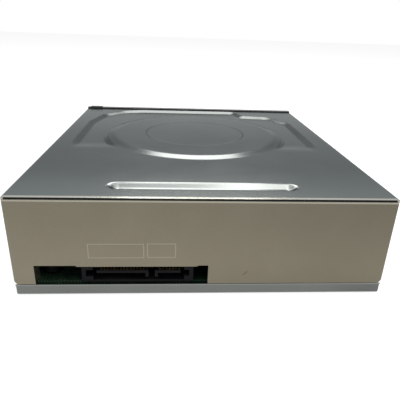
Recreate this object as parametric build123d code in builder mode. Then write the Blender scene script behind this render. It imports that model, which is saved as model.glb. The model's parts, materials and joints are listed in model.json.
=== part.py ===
from build123d import *
import math
import os

# Half-height internal disc writer. Millimetres, +Z up, origin under the middle of the
# whole drive. The front bezel faces -Y, the connector panel faces +Y.

# Case
body_width = 146.0
body_depth = 165.0
body_height = 41.3
sheet = 0.6
corner_radius = 0.9
lip_height = 0.6
lip_gap = 0.3
stamp_block = 4.0
ledge_width = 4.0
seat_gap = 0.3

# Bezel
bezel_depth = 5.0
bezel_overhang = 0.3
bezel_base = 0.2
bezel_height = 41.8
bezel_wall = 2.2
bezel_pad_height = 0.5
bezel_pad_length = 8.0
door_margin = 7.4
door_height = 15.1
door_base = 22.2
door_gap = 0.5
door_thick = 3.0

# Cover stampings
plateau_rise = 0.9
plateau_top_radius = 42.5
plateau_base_radius = 46.5
plateau_foot = 2.5
hub_recess_radius = 27.5
hub_recess_depth = 0.4
arch_depth = 1.2
arch_slope = 66.0
arch_left_margin = 7.8
arch_right_margin = 8.9
arch_front_gap = 4.3
arch_rear = 16.2
trench_length = 75.0
trench_width = 7.7
trench_floor_length = 68.0
trench_floor_width = 1.2
trench_depth = 1.5
trench_rear_gap = 13.0
dimple_radius = 1.6
dimple_depth = 0.4
dimple_x = 45.8
dimple_y = 30.3

# Rear panel and bottom cover
panel_base = 5.0
panel_corner = 1.3
opening_margin = 8.3
opening_width = 66.5
opening_top = 13.3
opening_step = 0.45
opening_step_start = 15.8
opening_step_width = 46.5
opening_tab = 6.0
bottom_flange = 4.4
bottom_rear_inset = 0.2
screw_dimple_rise = 1.0
screw_dimple_radius = 4.2
pcb_boss_radius = 2.5
bead_x = 30.0
bead_length = 70.0
bead_width = 6.0
bead_depth = 0.4

# Standard mounting holes, measured from the back of the bezel and from the base
hole_radius = 1.25
hole_collar = 2.0
hole_collar_length = 1.0
hole_front = 47.4
hole_pitch = 79.25
side_hole_low = 10.0
side_hole_rise = 11.84
bottom_hole_margin = 3.15

# Disc, tray and clamp
spindle_setback = 69.4
tray_travel = 133.0
tray_margin = 9.0
tray_base = 25.6
tray_thick = 5.8
tray_floor = 2.8
tray_small_floor = 1.6
tray_rim = 3.4
small_recess_radius = 40.8
tray_slot_radius = 18.0
tray_rear_gap = 7.0
tray_arm_width = 14.0
tray_skin = 2.0
tray_clearance = 0.3
bridge_length = 36.0
bridge_thick = 1.0
bridge_flange = 1.6
clamper_hole_radius = 13.4
clamper_neck_radius = 12.8
clamper_flange_radius = 15.5
clamper_flange = 1.0

# Chassis
chassis_wall = 2.4
chassis_gap = 0.4
chassis_floor = 2.0
floor_base = 13.5
chassis_top = 36.3
well_margin = 26.0
well_wall = 1.6
leg_radius = 3.2
leg_margin = 12.0
leg_front_gap = 10.0
leg_rear_gap = 11.0
tab_length = 9.0
tab_thick = 1.5

# Loading gears
rack_module = 1.0
rack_gear_teeth = 18
train_module = 0.8
drive_teeth = 36
pinion_teeth = 12
gear_backlash = 0.16
rack_margin = 17.0
rack_height = 3.6
drive_gear_setback = 17.0
pulley_gear_shift = -4.0
pulley_radius = 7.5
motor_pulley_radius = 2.8
belt_reach = 36.2
motor_radius = 12.2
motor_height = 12.0
belt_size = 1.2
belt_gap = 0.1
pin_radius = 1.5
running_gap = 0.06
gear_face = 2.6

# Lifting mechanism
tilt_angle = 4.5
pivot_setback = 145.9
pivot_height = 17.5
pivot_radius = 2.0
grommet_wall = 1.4
cam_travel = 18.0
cam_thick = 2.0
cam_pin_radius = 1.5
cam_slot_gap = 0.3
cam_base = 6.6
cam_top = 22.6
cam_pin_height = 18.0
cam_pin_x = 22.0

# Traverse, spindle and pickup
traverse_side_gap = 2.0
traverse_front = 28.5
traverse_rear = 4.0
traverse_base = 15.5
traverse_plate = 2.0
traverse_wall = 2.0
traverse_rim = 4.4
rod_radius = 1.5
rod_height = 20.5
rod_left = 28.0
rod_right = -26.0
rod_front = 7.0
screw_x = -36.0
screw_height = 20.0
screw_radius = 1.5
stepper_radius = 5.0
stepper_length = 13.0
rotor_radius = 12.8
turntable_radius = 14.5
hub_radius = 7.4
disc_plane = 30.4
lens_start = 23.0
sled_length = 26.0
sled_base = 17.9
sled_top = 25.0
lens_radius = 2.4

# Circuit board and connector
pcb_thick = 1.6
pcb_top = 5.2
pcb_length = 62.0
pcb_margin = 7.0
pcb_rear_gap = 1.4
connector_start = 17.4
connector_width = 43.4
connector_height = 7.4
connector_depth = 11.2
connector_recess = 1.2
power_start = 5.8
power_width = 20.05
data_start = 28.3
data_width = 10.1
tongue_height = 9.85
tongue_thick = 1.2
contact_pitch = 1.27
contact_width = 0.84
power_contacts = 15
data_contacts = 7

# Front controls
button_margin = 21.0
button_z = 11.0
button_width = 14.0
button_height = 5.0
button_gap = 0.3
button_travel = 0.8
lamp_margin = 36.0
lamp_radius = 1.2
pinhole_margin = 47.0
pinhole_radius = 0.7
board_thick = 1.2

# Places worked out from the sizes above
rear_y = (body_depth + bezel_depth) / 2
front_y = -rear_y
bezel_back = front_y + bezel_depth
half_width = body_width / 2
inner_half = half_width - sheet
bezel_width = body_width + 2 * bezel_overhang
door_width = body_width - 2 * door_margin
tray_width = body_width - 2 * tray_margin
disc_recess_radius = tray_width / 2 - tray_rim
tray_ear_inner = tray_width / 2 - tray_arm_width
arch_left = half_width - arch_left_margin
arch_right = half_width - arch_right_margin
opening_left = half_width - opening_margin
opening_right = opening_left - opening_width
opening_step_left = opening_left - opening_step_start
opening_step_right = opening_step_left - opening_step_width
well_half = half_width - well_margin
traverse_half = well_half - traverse_side_gap
leg_x = half_width - leg_margin
rack_line = half_width - rack_margin
pcb_half = half_width - pcb_margin
connector_left = opening_left - connector_start
connector_right = connector_left - connector_width
power_left = connector_left - power_start
power_right = power_left - power_width
data_left = connector_left - data_start
data_right = data_left - data_width
button_x = half_width - button_margin
lamp_x = half_width - lamp_margin
pinhole_x = half_width - pinhole_margin
spindle_y = bezel_back + spindle_setback
trench_y = rear_y - trench_rear_gap
panel_top = body_height - lip_height - lip_gap
tray_top = tray_base + tray_thick
tray_rear = rear_y - tray_rear_gap
pivot_y = bezel_back + pivot_setback
hole_y_front = bezel_back + hole_front
floor_top = floor_base + chassis_floor
wall_inner = tray_width / 2 + chassis_gap
wall_outer = wall_inner + chassis_wall
drive_x = rack_line - rack_module * rack_gear_teeth / 2
drive_y = bezel_back + drive_gear_setback
train_distance = train_module * (drive_teeth + pinion_teeth) / 2
pulley_x = drive_x - math.sqrt(train_distance**2 - pulley_gear_shift**2)
pulley_y = drive_y + pulley_gear_shift
train_angle = math.degrees(math.atan2(pulley_gear_shift, pulley_x - drive_x))
motor_x = pulley_x - belt_reach
motor_y = pulley_y
drive_base = floor_top + 1.0
rack_base = tray_base - rack_height
belt_z = drive_base + gear_face + 2.6
well_rear = pivot_y + 4.5
cam_y = spindle_y - traverse_front - 1.5 - cam_thick
well_front = cam_y - 1.2
cam_drop = (pivot_y - cam_y - cam_thick / 2) * math.sin(math.radians(tilt_angle))
pcb_rear = rear_y - sheet - pcb_rear_gap
pcb_front = pcb_rear - pcb_length
pcb_base = pcb_top - pcb_thick
sled_y = spindle_y + lens_start
connector_rear = rear_y - connector_recess


def corner_rectangle(x0, x1, y0, y1, mode=Mode.ADD):
    """Draw a rectangle from its two corners in the current sketch."""
    with Locations(((x0 + x1) / 2, (y0 + y1) / 2)):
        Rectangle(abs(x1 - x0), abs(y1 - y0), mode=mode)


def slab(x0, x1, y0, y1, z0, z1, mode=Mode.ADD):
    """Add or cut a straight block from its corners in the current part."""
    with Locations(((x0 + x1) / 2, (y0 + y1) / 2, (z0 + z1) / 2)):
        Box(abs(x1 - x0), abs(y1 - y0), abs(z1 - z0), mode=mode)


def post(x, y, z0, z1, radius, mode=Mode.ADD):
    """Add or cut an upright cylinder in the current part."""
    with Locations((x, y, (z0 + z1) / 2)):
        Cylinder(radius, abs(z1 - z0), mode=mode)


def involute_point(base, radius, start, side):
    """Return the point of an involute flank at a radius, as X and Y."""
    spread = math.sqrt(max((radius / base) ** 2 - 1, 0))
    angle = start - side * (spread - math.atan(spread))
    return radius * math.cos(angle), radius * math.sin(angle)


def gear_points(teeth, module, phase):
    """Return the closed outline of a spur gear with a tooth centred on phase, in degrees."""
    pitch = teeth * module / 2
    base = pitch * math.cos(math.radians(20))
    root = pitch - 1.2 * module
    tip = pitch + 0.9 * module
    spread = math.tan(math.radians(20)) - math.radians(20)
    half = math.pi / (2 * teeth) - gear_backlash / (4 * pitch) + spread
    flank = [max(base, root) + (tip - max(base, root)) * step / 2 for step in range(3)]
    points = []
    for tooth in range(teeth):
        middle = math.radians(phase) + 2 * math.pi * tooth / teeth
        low, high = middle - half, middle + half
        points.append((root * math.cos(low), root * math.sin(low)))
        points += [involute_point(base, radius, low, -1) for radius in flank]
        points += [involute_point(base, radius, high, 1) for radius in reversed(flank)]
        points.append((root * math.cos(high), root * math.sin(high)))
    return points


def toothed_disc(x, y, z0, z1, teeth, module, phase):
    """Add a spur gear to the current part."""
    with BuildSketch(Plane.XY.offset(z0)) as outline:
        with BuildLine(Location((x, y))):
            Polyline(*gear_points(teeth, module, phase), close=True)
        make_face()
    extrude(outline.sketch, amount=z1 - z0)


def stamped_form(half, rear, front, level, radius):
    """Build the block whose top face is the stamped surface of the cover at a level."""
    floor = level - stamp_block
    middle_y = (front + rear) / 2
    with BuildPart() as form:
        with BuildSketch(Plane.XY.offset(floor)):
            with Locations((0, middle_y)):
                Rectangle(2 * half, rear - front)
        extrude(amount=level - floor)
        fillet(form.edges().filter_by(Axis.Z).group_by(Axis.Y)[-1], radius)
        fillet(form.faces().sort_by(Axis.Z)[-1].edges().group_by(Axis.Y)[1:], radius * 0.9)
        with BuildSketch(Plane.XY.offset(level)):
            with BuildLine():
                Polyline(
                    (arch_left, arch_rear),
                    (arch_left, spindle_y - 24.8),
                    (arch_left - 11.0, spindle_y - 42.7),
                    (arch_left - 22.6, bezel_back + arch_front_gap + 0.9),
                    (-arch_right + 33.6, bezel_back + arch_front_gap),
                    (-arch_right + 29.7, bezel_back + 18.7),
                    (-arch_right + 11.8, bezel_back + 19.9),
                    (-arch_right, bezel_back + 31.2),
                    (-arch_right, arch_rear - 6.2),
                    (-arch_right + 7.1, arch_rear - 1.2),
                    close=True,
                )
            make_face()
            fillet(vertices(), 3.4)
        extrude(amount=-arch_depth, taper=arch_slope, mode=Mode.SUBTRACT)
        with BuildSketch(Plane.XZ.offset(-spindle_y)):
            with BuildLine():
                Polyline(
                    (0, floor),
                    (0, level + plateau_rise - hub_recess_depth),
                    (hub_recess_radius - 0.6, level + plateau_rise - hub_recess_depth),
                    (hub_recess_radius, level + plateau_rise),
                    (plateau_top_radius, level + plateau_rise),
                    (plateau_base_radius, level),
                    (plateau_base_radius + plateau_foot, level - arch_depth),
                    (plateau_base_radius + plateau_foot, floor),
                    close=True,
                )
            make_face()
        revolve(axis=Axis((0, spindle_y, 0), (0, 0, 1)))
    return form.part


def save(piece, name):
    """Label a finished piece and write it as a STEP file."""
    piece.part.label = name
    export_step(piece.part, f"parts/{name}.step")


os.makedirs("parts", exist_ok=True)

# Stamped top cover with its down-turned lip
outer_form = stamped_form(half_width, rear_y, bezel_back, body_height, corner_radius)
inner_form = stamped_form(
    half_width - sheet, rear_y - sheet, bezel_back - 1.0, body_height - sheet, corner_radius - sheet
)
with BuildPart() as top_cover:
    add(outer_form)
    add(inner_form, mode=Mode.SUBTRACT)
    with BuildSketch(Plane.XY.offset(body_height - stamp_block)) as rim:
        corner_rectangle(-half_width - 1.0, half_width + 1.0, front_y, rear_y + 1.0)
        corner_rectangle(-inner_half + 0.4, inner_half - 0.4, front_y - 1.0,
                         rear_y - sheet - 0.4, mode=Mode.SUBTRACT)
    extrude(rim.sketch, amount=stamp_block - lip_height, mode=Mode.SUBTRACT)
    slab(-half_width - 1.0, half_width + 1.0, bezel_back - 2.0, bezel_back + 0.2,
         body_height - stamp_block, body_height + 1.0, mode=Mode.SUBTRACT)
    with BuildSketch(Plane.XY.offset(body_height)) as trench_mouth:
        with Locations((0, trench_y)):
            SlotOverall(trench_length, trench_width)
    with BuildSketch(Plane.XY.offset(body_height - trench_depth)) as trench_bed:
        with Locations((0, trench_y)):
            SlotOverall(trench_floor_length, trench_floor_width)
    with BuildSketch(Plane.XY.offset(body_height - sheet)) as lower_mouth:
        with Locations((0, trench_y)):
            SlotOverall(trench_length, trench_width)
    with BuildSketch(Plane.XY.offset(body_height - sheet - trench_depth)) as lower_bed:
        with Locations((0, trench_y)):
            SlotOverall(trench_floor_length, trench_floor_width)
    loft(sections=[lower_mouth.sketch, lower_bed.sketch])
    loft(sections=[trench_mouth.sketch, trench_bed.sketch], mode=Mode.SUBTRACT)
    for side in (-1, 1):
        with Locations((side * dimple_x, dimple_y, body_height)):
            Cylinder(dimple_radius, 2 * dimple_depth, mode=Mode.SUBTRACT)
save(top_cover, "top_cover")

# Sides and rear panel, folded from one strip
with BuildPart() as case_frame:
    with BuildSketch(Plane.XY.offset(screw_dimple_rise)) as wrap:
        corner_rectangle(-half_width, half_width, bezel_back, rear_y)
        fillet(wrap.vertices().group_by(Axis.Y)[-1], corner_radius)
        corner_rectangle(-inner_half, inner_half, bezel_back, rear_y - sheet, mode=Mode.SUBTRACT)
        fillet(wrap.vertices().filter_by(
            lambda v: abs(v.Y - rear_y + sheet) < 0.01), corner_radius - sheet)
    extrude(amount=panel_top - screw_dimple_rise)
    with BuildSketch(Plane.XY.offset(panel_top - sheet)):
        corner_rectangle(-inner_half - 0.1, inner_half + 0.1, bezel_back, rear_y - sheet + 0.1)
        corner_rectangle(
            -inner_half + ledge_width, inner_half - ledge_width,
            bezel_back - 1.0, rear_y - sheet - ledge_width, mode=Mode.SUBTRACT)
    extrude(amount=sheet)
    with BuildSketch(Plane.XZ.offset(-rear_y)):
        corner_rectangle(-half_width - 1, half_width + 1, 0, panel_base)
        with BuildLine():
            Polyline(
                (half_width + 1, 0), (half_width + 1, panel_base + panel_corner + 0.8),
                (half_width - 0.2, panel_base + panel_corner), (half_width - 1.5, panel_base),
                (half_width - 1.5, 0), close=True)
        make_face()
        with BuildLine():
            Polyline(
                (-half_width - 1, 0), (-half_width - 1, panel_base + panel_corner + 0.8),
                (-half_width + 0.2, panel_base + panel_corner), (-half_width + 1.5, panel_base),
                (-half_width + 1.5, 0), close=True)
        make_face()
    extrude(amount=-4.0, both=True, mode=Mode.SUBTRACT)
    with BuildSketch(Plane.XZ.offset(-rear_y)):
        corner_rectangle(opening_right, opening_left, panel_base - 1, opening_top)
        corner_rectangle(
            opening_step_right, opening_step_left,
            opening_top - opening_step, opening_top, mode=Mode.SUBTRACT)
    extrude(amount=-3.0, both=True, mode=Mode.SUBTRACT)
    slab(opening_left, opening_left + sheet, rear_y - opening_tab, rear_y - sheet / 2,
         panel_base + 0.4, opening_top - 0.6)
    for side in (-1, 1):
        for y in (hole_y_front, hole_y_front + hole_pitch):
            for z in (side_hole_low, side_hole_low + side_hole_rise):
                with Locations(Location((side * (half_width - (sheet + hole_collar_length) / 2), y, z),
                                        (0, 90, 0))):
                    Cylinder(hole_collar, sheet + hole_collar_length)
                    Cylinder(hole_radius, 3 * sheet + hole_collar_length, mode=Mode.SUBTRACT)
        for z in (10.0, 30.0):
            slab(side * (inner_half - 1), side * (half_width + 1), bezel_back + 4.0,
                 bezel_back + 7.0, z - 3.0, z + 3.0, mode=Mode.SUBTRACT)
save(case_frame, "case_frame")

# Bottom cover: pan with a low flange, screw dimples, board bosses and beads
pan_half = inner_half
pan_rear = rear_y - bottom_rear_inset
pan_front = bezel_back + 0.3
bottom_hole_x = half_width - bottom_hole_margin
leg_spots = [
    (side * leg_x, y) for side in (-1, 1)
    for y in (bezel_back + leg_front_gap, rear_y - leg_rear_gap)]
boss_spots = [(side * (pcb_half - 22.0), y) for side in (-1, 1)
              for y in (pcb_front + 5.0, pcb_rear - 14.0)]
mount_spots = [(side * bottom_hole_x, y) for side in (-1, 1)
               for y in (hole_y_front, hole_y_front + hole_pitch)]
with BuildPart() as bottom_cover:
    with BuildSketch():
        corner_rectangle(-pan_half, pan_half, pan_front, pan_rear)
    extrude(amount=bottom_flange)
    fillet(bottom_cover.faces().sort_by(Axis.Z)[0].edges().group_by(Axis.Y)[1:], sheet + 0.3)
    with BuildSketch(Plane.XY.offset(sheet)):
        corner_rectangle(-pan_half + sheet, pan_half - sheet, pan_front - 1, pan_rear - sheet)
    extrude(amount=bottom_flange, mode=Mode.SUBTRACT)
    for x, y in leg_spots:
        post(x, y, 0, sheet + screw_dimple_rise, screw_dimple_radius + sheet)
        post(x, y, -screw_dimple_rise, screw_dimple_rise, screw_dimple_radius,
             mode=Mode.SUBTRACT)
        post(x, y, -1, 4, hole_radius + 0.15, mode=Mode.SUBTRACT)
    for x, y in boss_spots:
        post(x, y, 0, pcb_base - seat_gap, pcb_boss_radius + sheet)
        post(x, y, -sheet, pcb_base - seat_gap - sheet, pcb_boss_radius, mode=Mode.SUBTRACT)
    for x, y in mount_spots:
        post(x, y, sheet / 2, sheet + hole_collar_length, hole_collar)
        post(x, y, -1, 3, hole_radius, mode=Mode.SUBTRACT)
    for side in (-1, 1):
        for level, mode in ((0, Mode.SUBTRACT), (sheet, Mode.ADD)):
            with BuildSketch(Plane.XY.offset(level)) as bead:
                with Locations((side * bead_x, spindle_y - 18.0)):
                    Rectangle(bead_width, bead_length)
                chamfer(bead.vertices(), bead_width / 4)
            extrude(bead.sketch, amount=bead_depth, mode=mode)
save(bottom_cover, "bottom_cover")

# Four screws that hold the bottom cover to the chassis legs
with BuildPart() as case_screws:
    for x, y in leg_spots:
        post(x, y, 0.2, screw_dimple_rise, 2.3)
        post(x, y, screw_dimple_rise, 7.0, hole_radius - running_gap)
        with Locations((x, y, 0.2)):
            Box(2.6, 0.5, 0.8, mode=Mode.SUBTRACT)
            Box(0.5, 2.6, 0.8, mode=Mode.SUBTRACT)
save(case_screws, "case_screws")

# Front bezel with its tray aperture and snap hooks
door_top = door_base + door_height
with BuildPart() as front_bezel:
    with BuildSketch(Plane.XZ.offset(-front_y)):
        corner_rectangle(-bezel_width / 2, bezel_width / 2, bezel_base, bezel_base + bezel_height)
    extrude(amount=-bezel_depth)
    fillet(front_bezel.faces().sort_by(Axis.Y)[0].edges(), 1.2)
    with BuildSketch(Plane.XZ.offset(-front_y - bezel_wall)):
        corner_rectangle(-bezel_width / 2 + 1.6, bezel_width / 2 - 1.6,
                         bezel_base + 1.6, bezel_base + bezel_height - 1.6)
    extrude(amount=-bezel_depth, mode=Mode.SUBTRACT)
    with BuildSketch(Plane.XZ.offset(-front_y)):
        corner_rectangle(-door_width / 2 - door_gap, door_width / 2 + door_gap,
                         door_base - door_gap, door_top + door_gap)
        corner_rectangle(button_x - button_width / 2 - button_gap, button_x + button_width / 2
                         + button_gap, button_z - button_height / 2 - button_gap,
                         button_z + button_height / 2 + button_gap)
        for x, radius in ((lamp_x, lamp_radius + 0.1), (pinhole_x, pinhole_radius)):
            with Locations((x, button_z)):
                Circle(radius)
    extrude(amount=-bezel_depth, both=True, mode=Mode.SUBTRACT)
    slab(bezel_width / 2 - 2.0 - bezel_pad_length, bezel_width / 2 - 2.0, bezel_back - 3.6,
         bezel_back - 0.4, bezel_base + bezel_height - 0.5,
         bezel_base + bezel_height + bezel_pad_height)
    for side in (-1, 1):
        for z in (10.0, 30.0):
            slab(side * (inner_half - 1.7), side * (inner_half - 0.1), bezel_back - 3.0,
                 bezel_back + 9.0, z - 2.6, z + 2.6)
            with BuildSketch(Plane.XY.offset(z - 2.6)) as barb:
                with BuildLine():
                    Polyline(
                        (side * (inner_half - 0.2), bezel_back + 4.2),
                        (side * (half_width - 0.1), bezel_back + 4.2),
                        (side * (inner_half - 0.2), bezel_back + 6.8), close=True)
                make_face()
            extrude(barb.sketch, amount=5.2)
save(front_bezel, "front_bezel")

# Eject button, light pipe and the small board behind them
switch_board_y = bezel_back + 3.4
with BuildPart() as eject_button:
    with BuildSketch(Plane.XZ.offset(-front_y - 0.2)):
        with Locations((button_x, button_z)):
            RectangleRounded(button_width, button_height, 0.8)
    extrude(amount=-3.4)
    chamfer(eject_button.faces().sort_by(Axis.Y)[0].edges(), 0.3)
    slab(button_x - button_width / 2 - 1.4, button_x + button_width / 2 + 1.4,
         front_y + bezel_wall + 0.2, front_y + bezel_wall + 1.2,
         button_z - button_height / 2 - 1.4, button_z + button_height / 2 + 1.4)
    slab(button_x - 1.5, button_x + 1.5, front_y + bezel_wall + 1.0,
         switch_board_y - 3.05 - button_travel, button_z - 1.5, button_z + 1.5)
save(eject_button, "eject_button")

with BuildPart() as light_pipe:
    with BuildSketch(Plane.XZ.offset(-front_y - 0.1)):
        with Locations((lamp_x, button_z)):
            Circle(lamp_radius)
    extrude(amount=-(switch_board_y - front_y - 1.8))
    with BuildSketch(Plane.XZ.offset(-front_y - bezel_wall - 0.05)):
        with Locations((lamp_x, button_z)):
            Rectangle(5.0, 4.0)
    extrude(amount=-1.0)
save(light_pipe, "light_pipe")

with BuildPart() as switch_board:
    slab(lamp_x - 8.0, button_x + 12.0, switch_board_y, switch_board_y + board_thick,
         5.4, floor_base - seat_gap)
save(switch_board, "switch_board")

with BuildPart() as eject_switch:
    slab(button_x - 3.0, button_x + 3.0, switch_board_y - 2.2, switch_board_y,
         button_z - 2.2, button_z + 2.2)
    slab(button_x - 1.0, button_x + 1.0, switch_board_y - 3.0, switch_board_y - 2.0,
         button_z - 1.0, button_z + 1.0)
save(eject_switch, "eject_switch")

with BuildPart() as status_lamp:
    slab(lamp_x - 1.0, lamp_x + 1.0, switch_board_y - 1.5, switch_board_y,
         button_z - 0.8, button_z + 0.8)
save(status_lamp, "status_lamp")

# Moulded chassis: a floor ring round the well, side walls, tray guides, legs and axles
chassis_front = bezel_back + 0.6
chassis_rear = rear_y - opening_tab - 0.6
ledge_top = tray_base - tray_clearance
with BuildPart() as main_chassis:
    with BuildSketch(Plane.XY.offset(floor_base)):
        corner_rectangle(-wall_outer, wall_outer, chassis_front, chassis_rear)
        corner_rectangle(-well_half, well_half, well_front, well_rear, mode=Mode.SUBTRACT)
        with Locations((motor_x, motor_y)):
            Circle(4.2, mode=Mode.SUBTRACT)
    extrude(amount=chassis_floor)
    for side in (-1, 1):
        slab(side * wall_inner, side * wall_outer, chassis_front, chassis_rear,
             floor_base - 5.0, chassis_top)
        slab(side * (tray_width / 2 - 2.5), side * wall_outer, chassis_front, chassis_rear,
             ledge_top - 2.0, ledge_top)
        slab(side * well_half, side * (well_half + well_wall), well_front, well_rear,
             floor_base, floor_top + 3.0)
        for y in (bezel_back + 12.0, spindle_y - 22.0, spindle_y + 30.0, rear_y - 20.0):
            slab(side * (tray_width / 2 - 1.6), side * wall_outer, y - tab_length / 2,
                 y + tab_length / 2, tray_top + tray_clearance,
                 tray_top + tray_clearance + tab_thick)
    slab(-well_half - well_wall, well_half + well_wall, well_rear, well_rear + well_wall,
         floor_base - 3.0, floor_top + 3.0)
    slab(-well_half, well_half, well_front - well_wall, well_front, cam_base - 2.0, floor_top)
    slab(-well_half, well_half, well_front - well_wall, cam_y + cam_thick + 1.0,
         cam_base - 2.0, cam_base - seat_gap)
    for x, y in leg_spots:
        post(x, y, sheet + screw_dimple_rise, floor_base + 0.5, leg_radius)
        post(x, y, 0, floor_base - 2.0, hole_radius, mode=Mode.SUBTRACT)
    for side in (-1, 1):
        slab(side * well_half, side * (well_half + 6.0), pivot_y - 4.0, pivot_y + 4.0,
             floor_base, pivot_height + 3.6)
        with Locations(Location((side * (well_half + 3.0), pivot_y, pivot_height), (0, 90, 0))):
            Cylinder(pivot_radius + grommet_wall, 20.0, mode=Mode.SUBTRACT)
    post(drive_x, drive_y, floor_top - 0.5, tray_base - 0.5, pin_radius)
    post(pulley_x, pulley_y, floor_top - 0.5, belt_z + 3.0, pin_radius)
    for x, y in ((drive_x, drive_y), (pulley_x, pulley_y)):
        post(x, y, floor_top - 0.5, drive_base - 0.2, pin_radius + 1.3)
save(main_chassis, "main_chassis")

# Rubber grommets that hold the traverse's two pivot pins
with BuildPart() as pivot_grommets:
    for side in (-1, 1):
        with Locations(Location((side * (well_half + 3.0), pivot_y, pivot_height), (0, 90, 0))):
            Cylinder(pivot_radius + grommet_wall - 0.02, 6.0)
            Cylinder(pivot_radius + running_gap, 8.0, mode=Mode.SUBTRACT)
save(pivot_grommets, "pivot_grommets")

# Disc tray with two recesses, a slot for the hub and a rack along its underside
tray_front = front_y + door_thick
with BuildPart() as tray:
    with BuildSketch(Plane.XY.offset(tray_base)) as tray_outline:
        corner_rectangle(-tray_width / 2, tray_width / 2, tray_front, tray_rear)
        with Locations((0, tray_rear)):
            Rectangle(2 * tray_ear_inner, 2 * (tray_rear - spindle_y - disc_recess_radius + 4.0),
                      mode=Mode.SUBTRACT)
        fillet(tray_outline.vertices().group_by(Axis.Y)[-1], 3.0)
    extrude(amount=tray_thick)
    with Locations((0, spindle_y, tray_base + tray_floor)):
        Cylinder(disc_recess_radius, tray_thick, mode=Mode.SUBTRACT,
                 align=(Align.CENTER, Align.CENTER, Align.MIN))
    with Locations((0, spindle_y, tray_base + tray_small_floor)):
        Cylinder(small_recess_radius, tray_thick, mode=Mode.SUBTRACT,
                 align=(Align.CENTER, Align.CENTER, Align.MIN))
    with BuildSketch(Plane.XY.offset(tray_base)):
        with Locations((0, spindle_y)):
            Circle(tray_slot_radius)
        corner_rectangle(-tray_slot_radius, tray_slot_radius, spindle_y, tray_rear)
    extrude(amount=tray_thick, mode=Mode.SUBTRACT)
    with BuildSketch(Plane.XY.offset(tray_base)):
        corner_rectangle(-tray_width / 2 + tray_skin, tray_width / 2 - tray_skin,
                         tray_front + tray_skin, spindle_y + disc_recess_radius - 8.0)
        with Locations((0, spindle_y)):
            Circle(disc_recess_radius + tray_skin, mode=Mode.SUBTRACT)
        corner_rectangle(rack_line - 4.0, tray_width / 2, tray_front, tray_rear,
                         mode=Mode.SUBTRACT)
    extrude(amount=tray_thick - tray_skin, mode=Mode.SUBTRACT)
    rack_pitch = math.pi * rack_module
    rack_count = round((tray_travel + 12.0) / rack_pitch)
    rack_slope = math.tan(math.radians(20))
    half_land = rack_pitch / 4 - gear_backlash / 4
    rack_back = rack_line + 3.0
    rack_outline = [(rack_back, drive_y - 1.5 * rack_pitch)]
    for tooth in range(-1, rack_count):
        middle = drive_y + tooth * rack_pitch
        root = rack_line + 1.2 * rack_module
        tip = rack_line - 0.9 * rack_module
        wide = half_land + 1.2 * rack_module * rack_slope
        slim = half_land - 0.9 * rack_module * rack_slope
        rack_outline += [(root, middle - wide), (tip, middle - slim),
                         (tip, middle + slim), (root, middle + wide)]
    rack_outline.append((rack_back, drive_y + (rack_count - 0.5) * rack_pitch))
    with BuildSketch(Plane.XY.offset(rack_base)) as rack:
        with BuildLine():
            Polyline(*rack_outline, close=True)
        make_face()
    extrude(rack.sketch, amount=rack_height + 0.5)
save(tray, "tray")

with BuildPart() as tray_door:
    with BuildSketch(Plane.XZ.offset(-front_y)):
        corner_rectangle(-door_width / 2, door_width / 2, door_base, door_top)
    extrude(amount=-door_thick)
    fillet(tray_door.faces().sort_by(Axis.Y)[0].edges(), 0.8)
    slab(-door_width / 2 + 4.0, door_width / 2 - 4.0, tray_front - 0.1, tray_front + 1.2,
         tray_top, tray_top + 1.6)
save(tray_door, "tray_door")

# Clamp bridge and the clamper that hangs in it
bridge_base = chassis_top
clamper_low = disc_plane + 2.5
with BuildPart() as clamp_bridge:
    with BuildSketch(Plane.XY.offset(bridge_base)) as bridge:
        with Locations((0, spindle_y)):
            Rectangle(2 * wall_outer, bridge_length)
            Circle(clamper_hole_radius, mode=Mode.SUBTRACT)
    extrude(amount=bridge_thick)
    for side in (-1, 1):
        slab(-wall_inner, wall_inner, spindle_y + side * (bridge_length / 2 - bridge_thick),
             spindle_y + side * bridge_length / 2, bridge_base, bridge_base + bridge_thick
             + bridge_flange)
        for along in (-10.0, 10.0):
            with Locations((side * (wall_outer - 1.2), spindle_y + along, bridge_base)):
                Box(1.6, 3.0, 8.0, mode=Mode.SUBTRACT)
save(clamp_bridge, "clamp_bridge")

with BuildPart() as clamper:
    with BuildSketch(Plane.XZ.offset(-spindle_y)):
        with BuildLine():
            Polyline(
                (0, clamper_low), (6.0, clamper_low), (7.0, clamper_low + 1.2),
                (clamper_neck_radius - 0.8, clamper_low + 1.2),
                (clamper_neck_radius - 0.8, clamper_low),
                (clamper_neck_radius, clamper_low),
                (clamper_neck_radius, bridge_base + bridge_thick + 0.4),
                (clamper_flange_radius, bridge_base + bridge_thick + 0.4),
                (clamper_flange_radius, bridge_base + bridge_thick + 0.4 + clamper_flange),
                (11.2, bridge_base + bridge_thick + 0.4 + clamper_flange),
                (11.2, clamper_low + 2.4), (0, clamper_low + 2.4), close=True)
        make_face()
    revolve(axis=Axis((0, spindle_y, 0), (0, 0, 1)))
save(clamper, "clamper")

with BuildPart() as clamp_magnet:
    with Locations((0, spindle_y, clamper_low + 2.4)):
        Cylinder(11.0, 2.4, align=(Align.CENTER, Align.CENTER, Align.MIN))
        Cylinder(4.0, 2.4, align=(Align.CENTER, Align.CENTER, Align.MIN), mode=Mode.SUBTRACT)
save(clamp_magnet, "clamp_magnet")

with BuildPart() as clamp_yoke:
    with Locations((0, spindle_y, clamper_low + 4.8)):
        Cylinder(11.0, 0.8, align=(Align.CENTER, Align.CENTER, Align.MIN))
save(clamp_yoke, "clamp_yoke")

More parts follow.
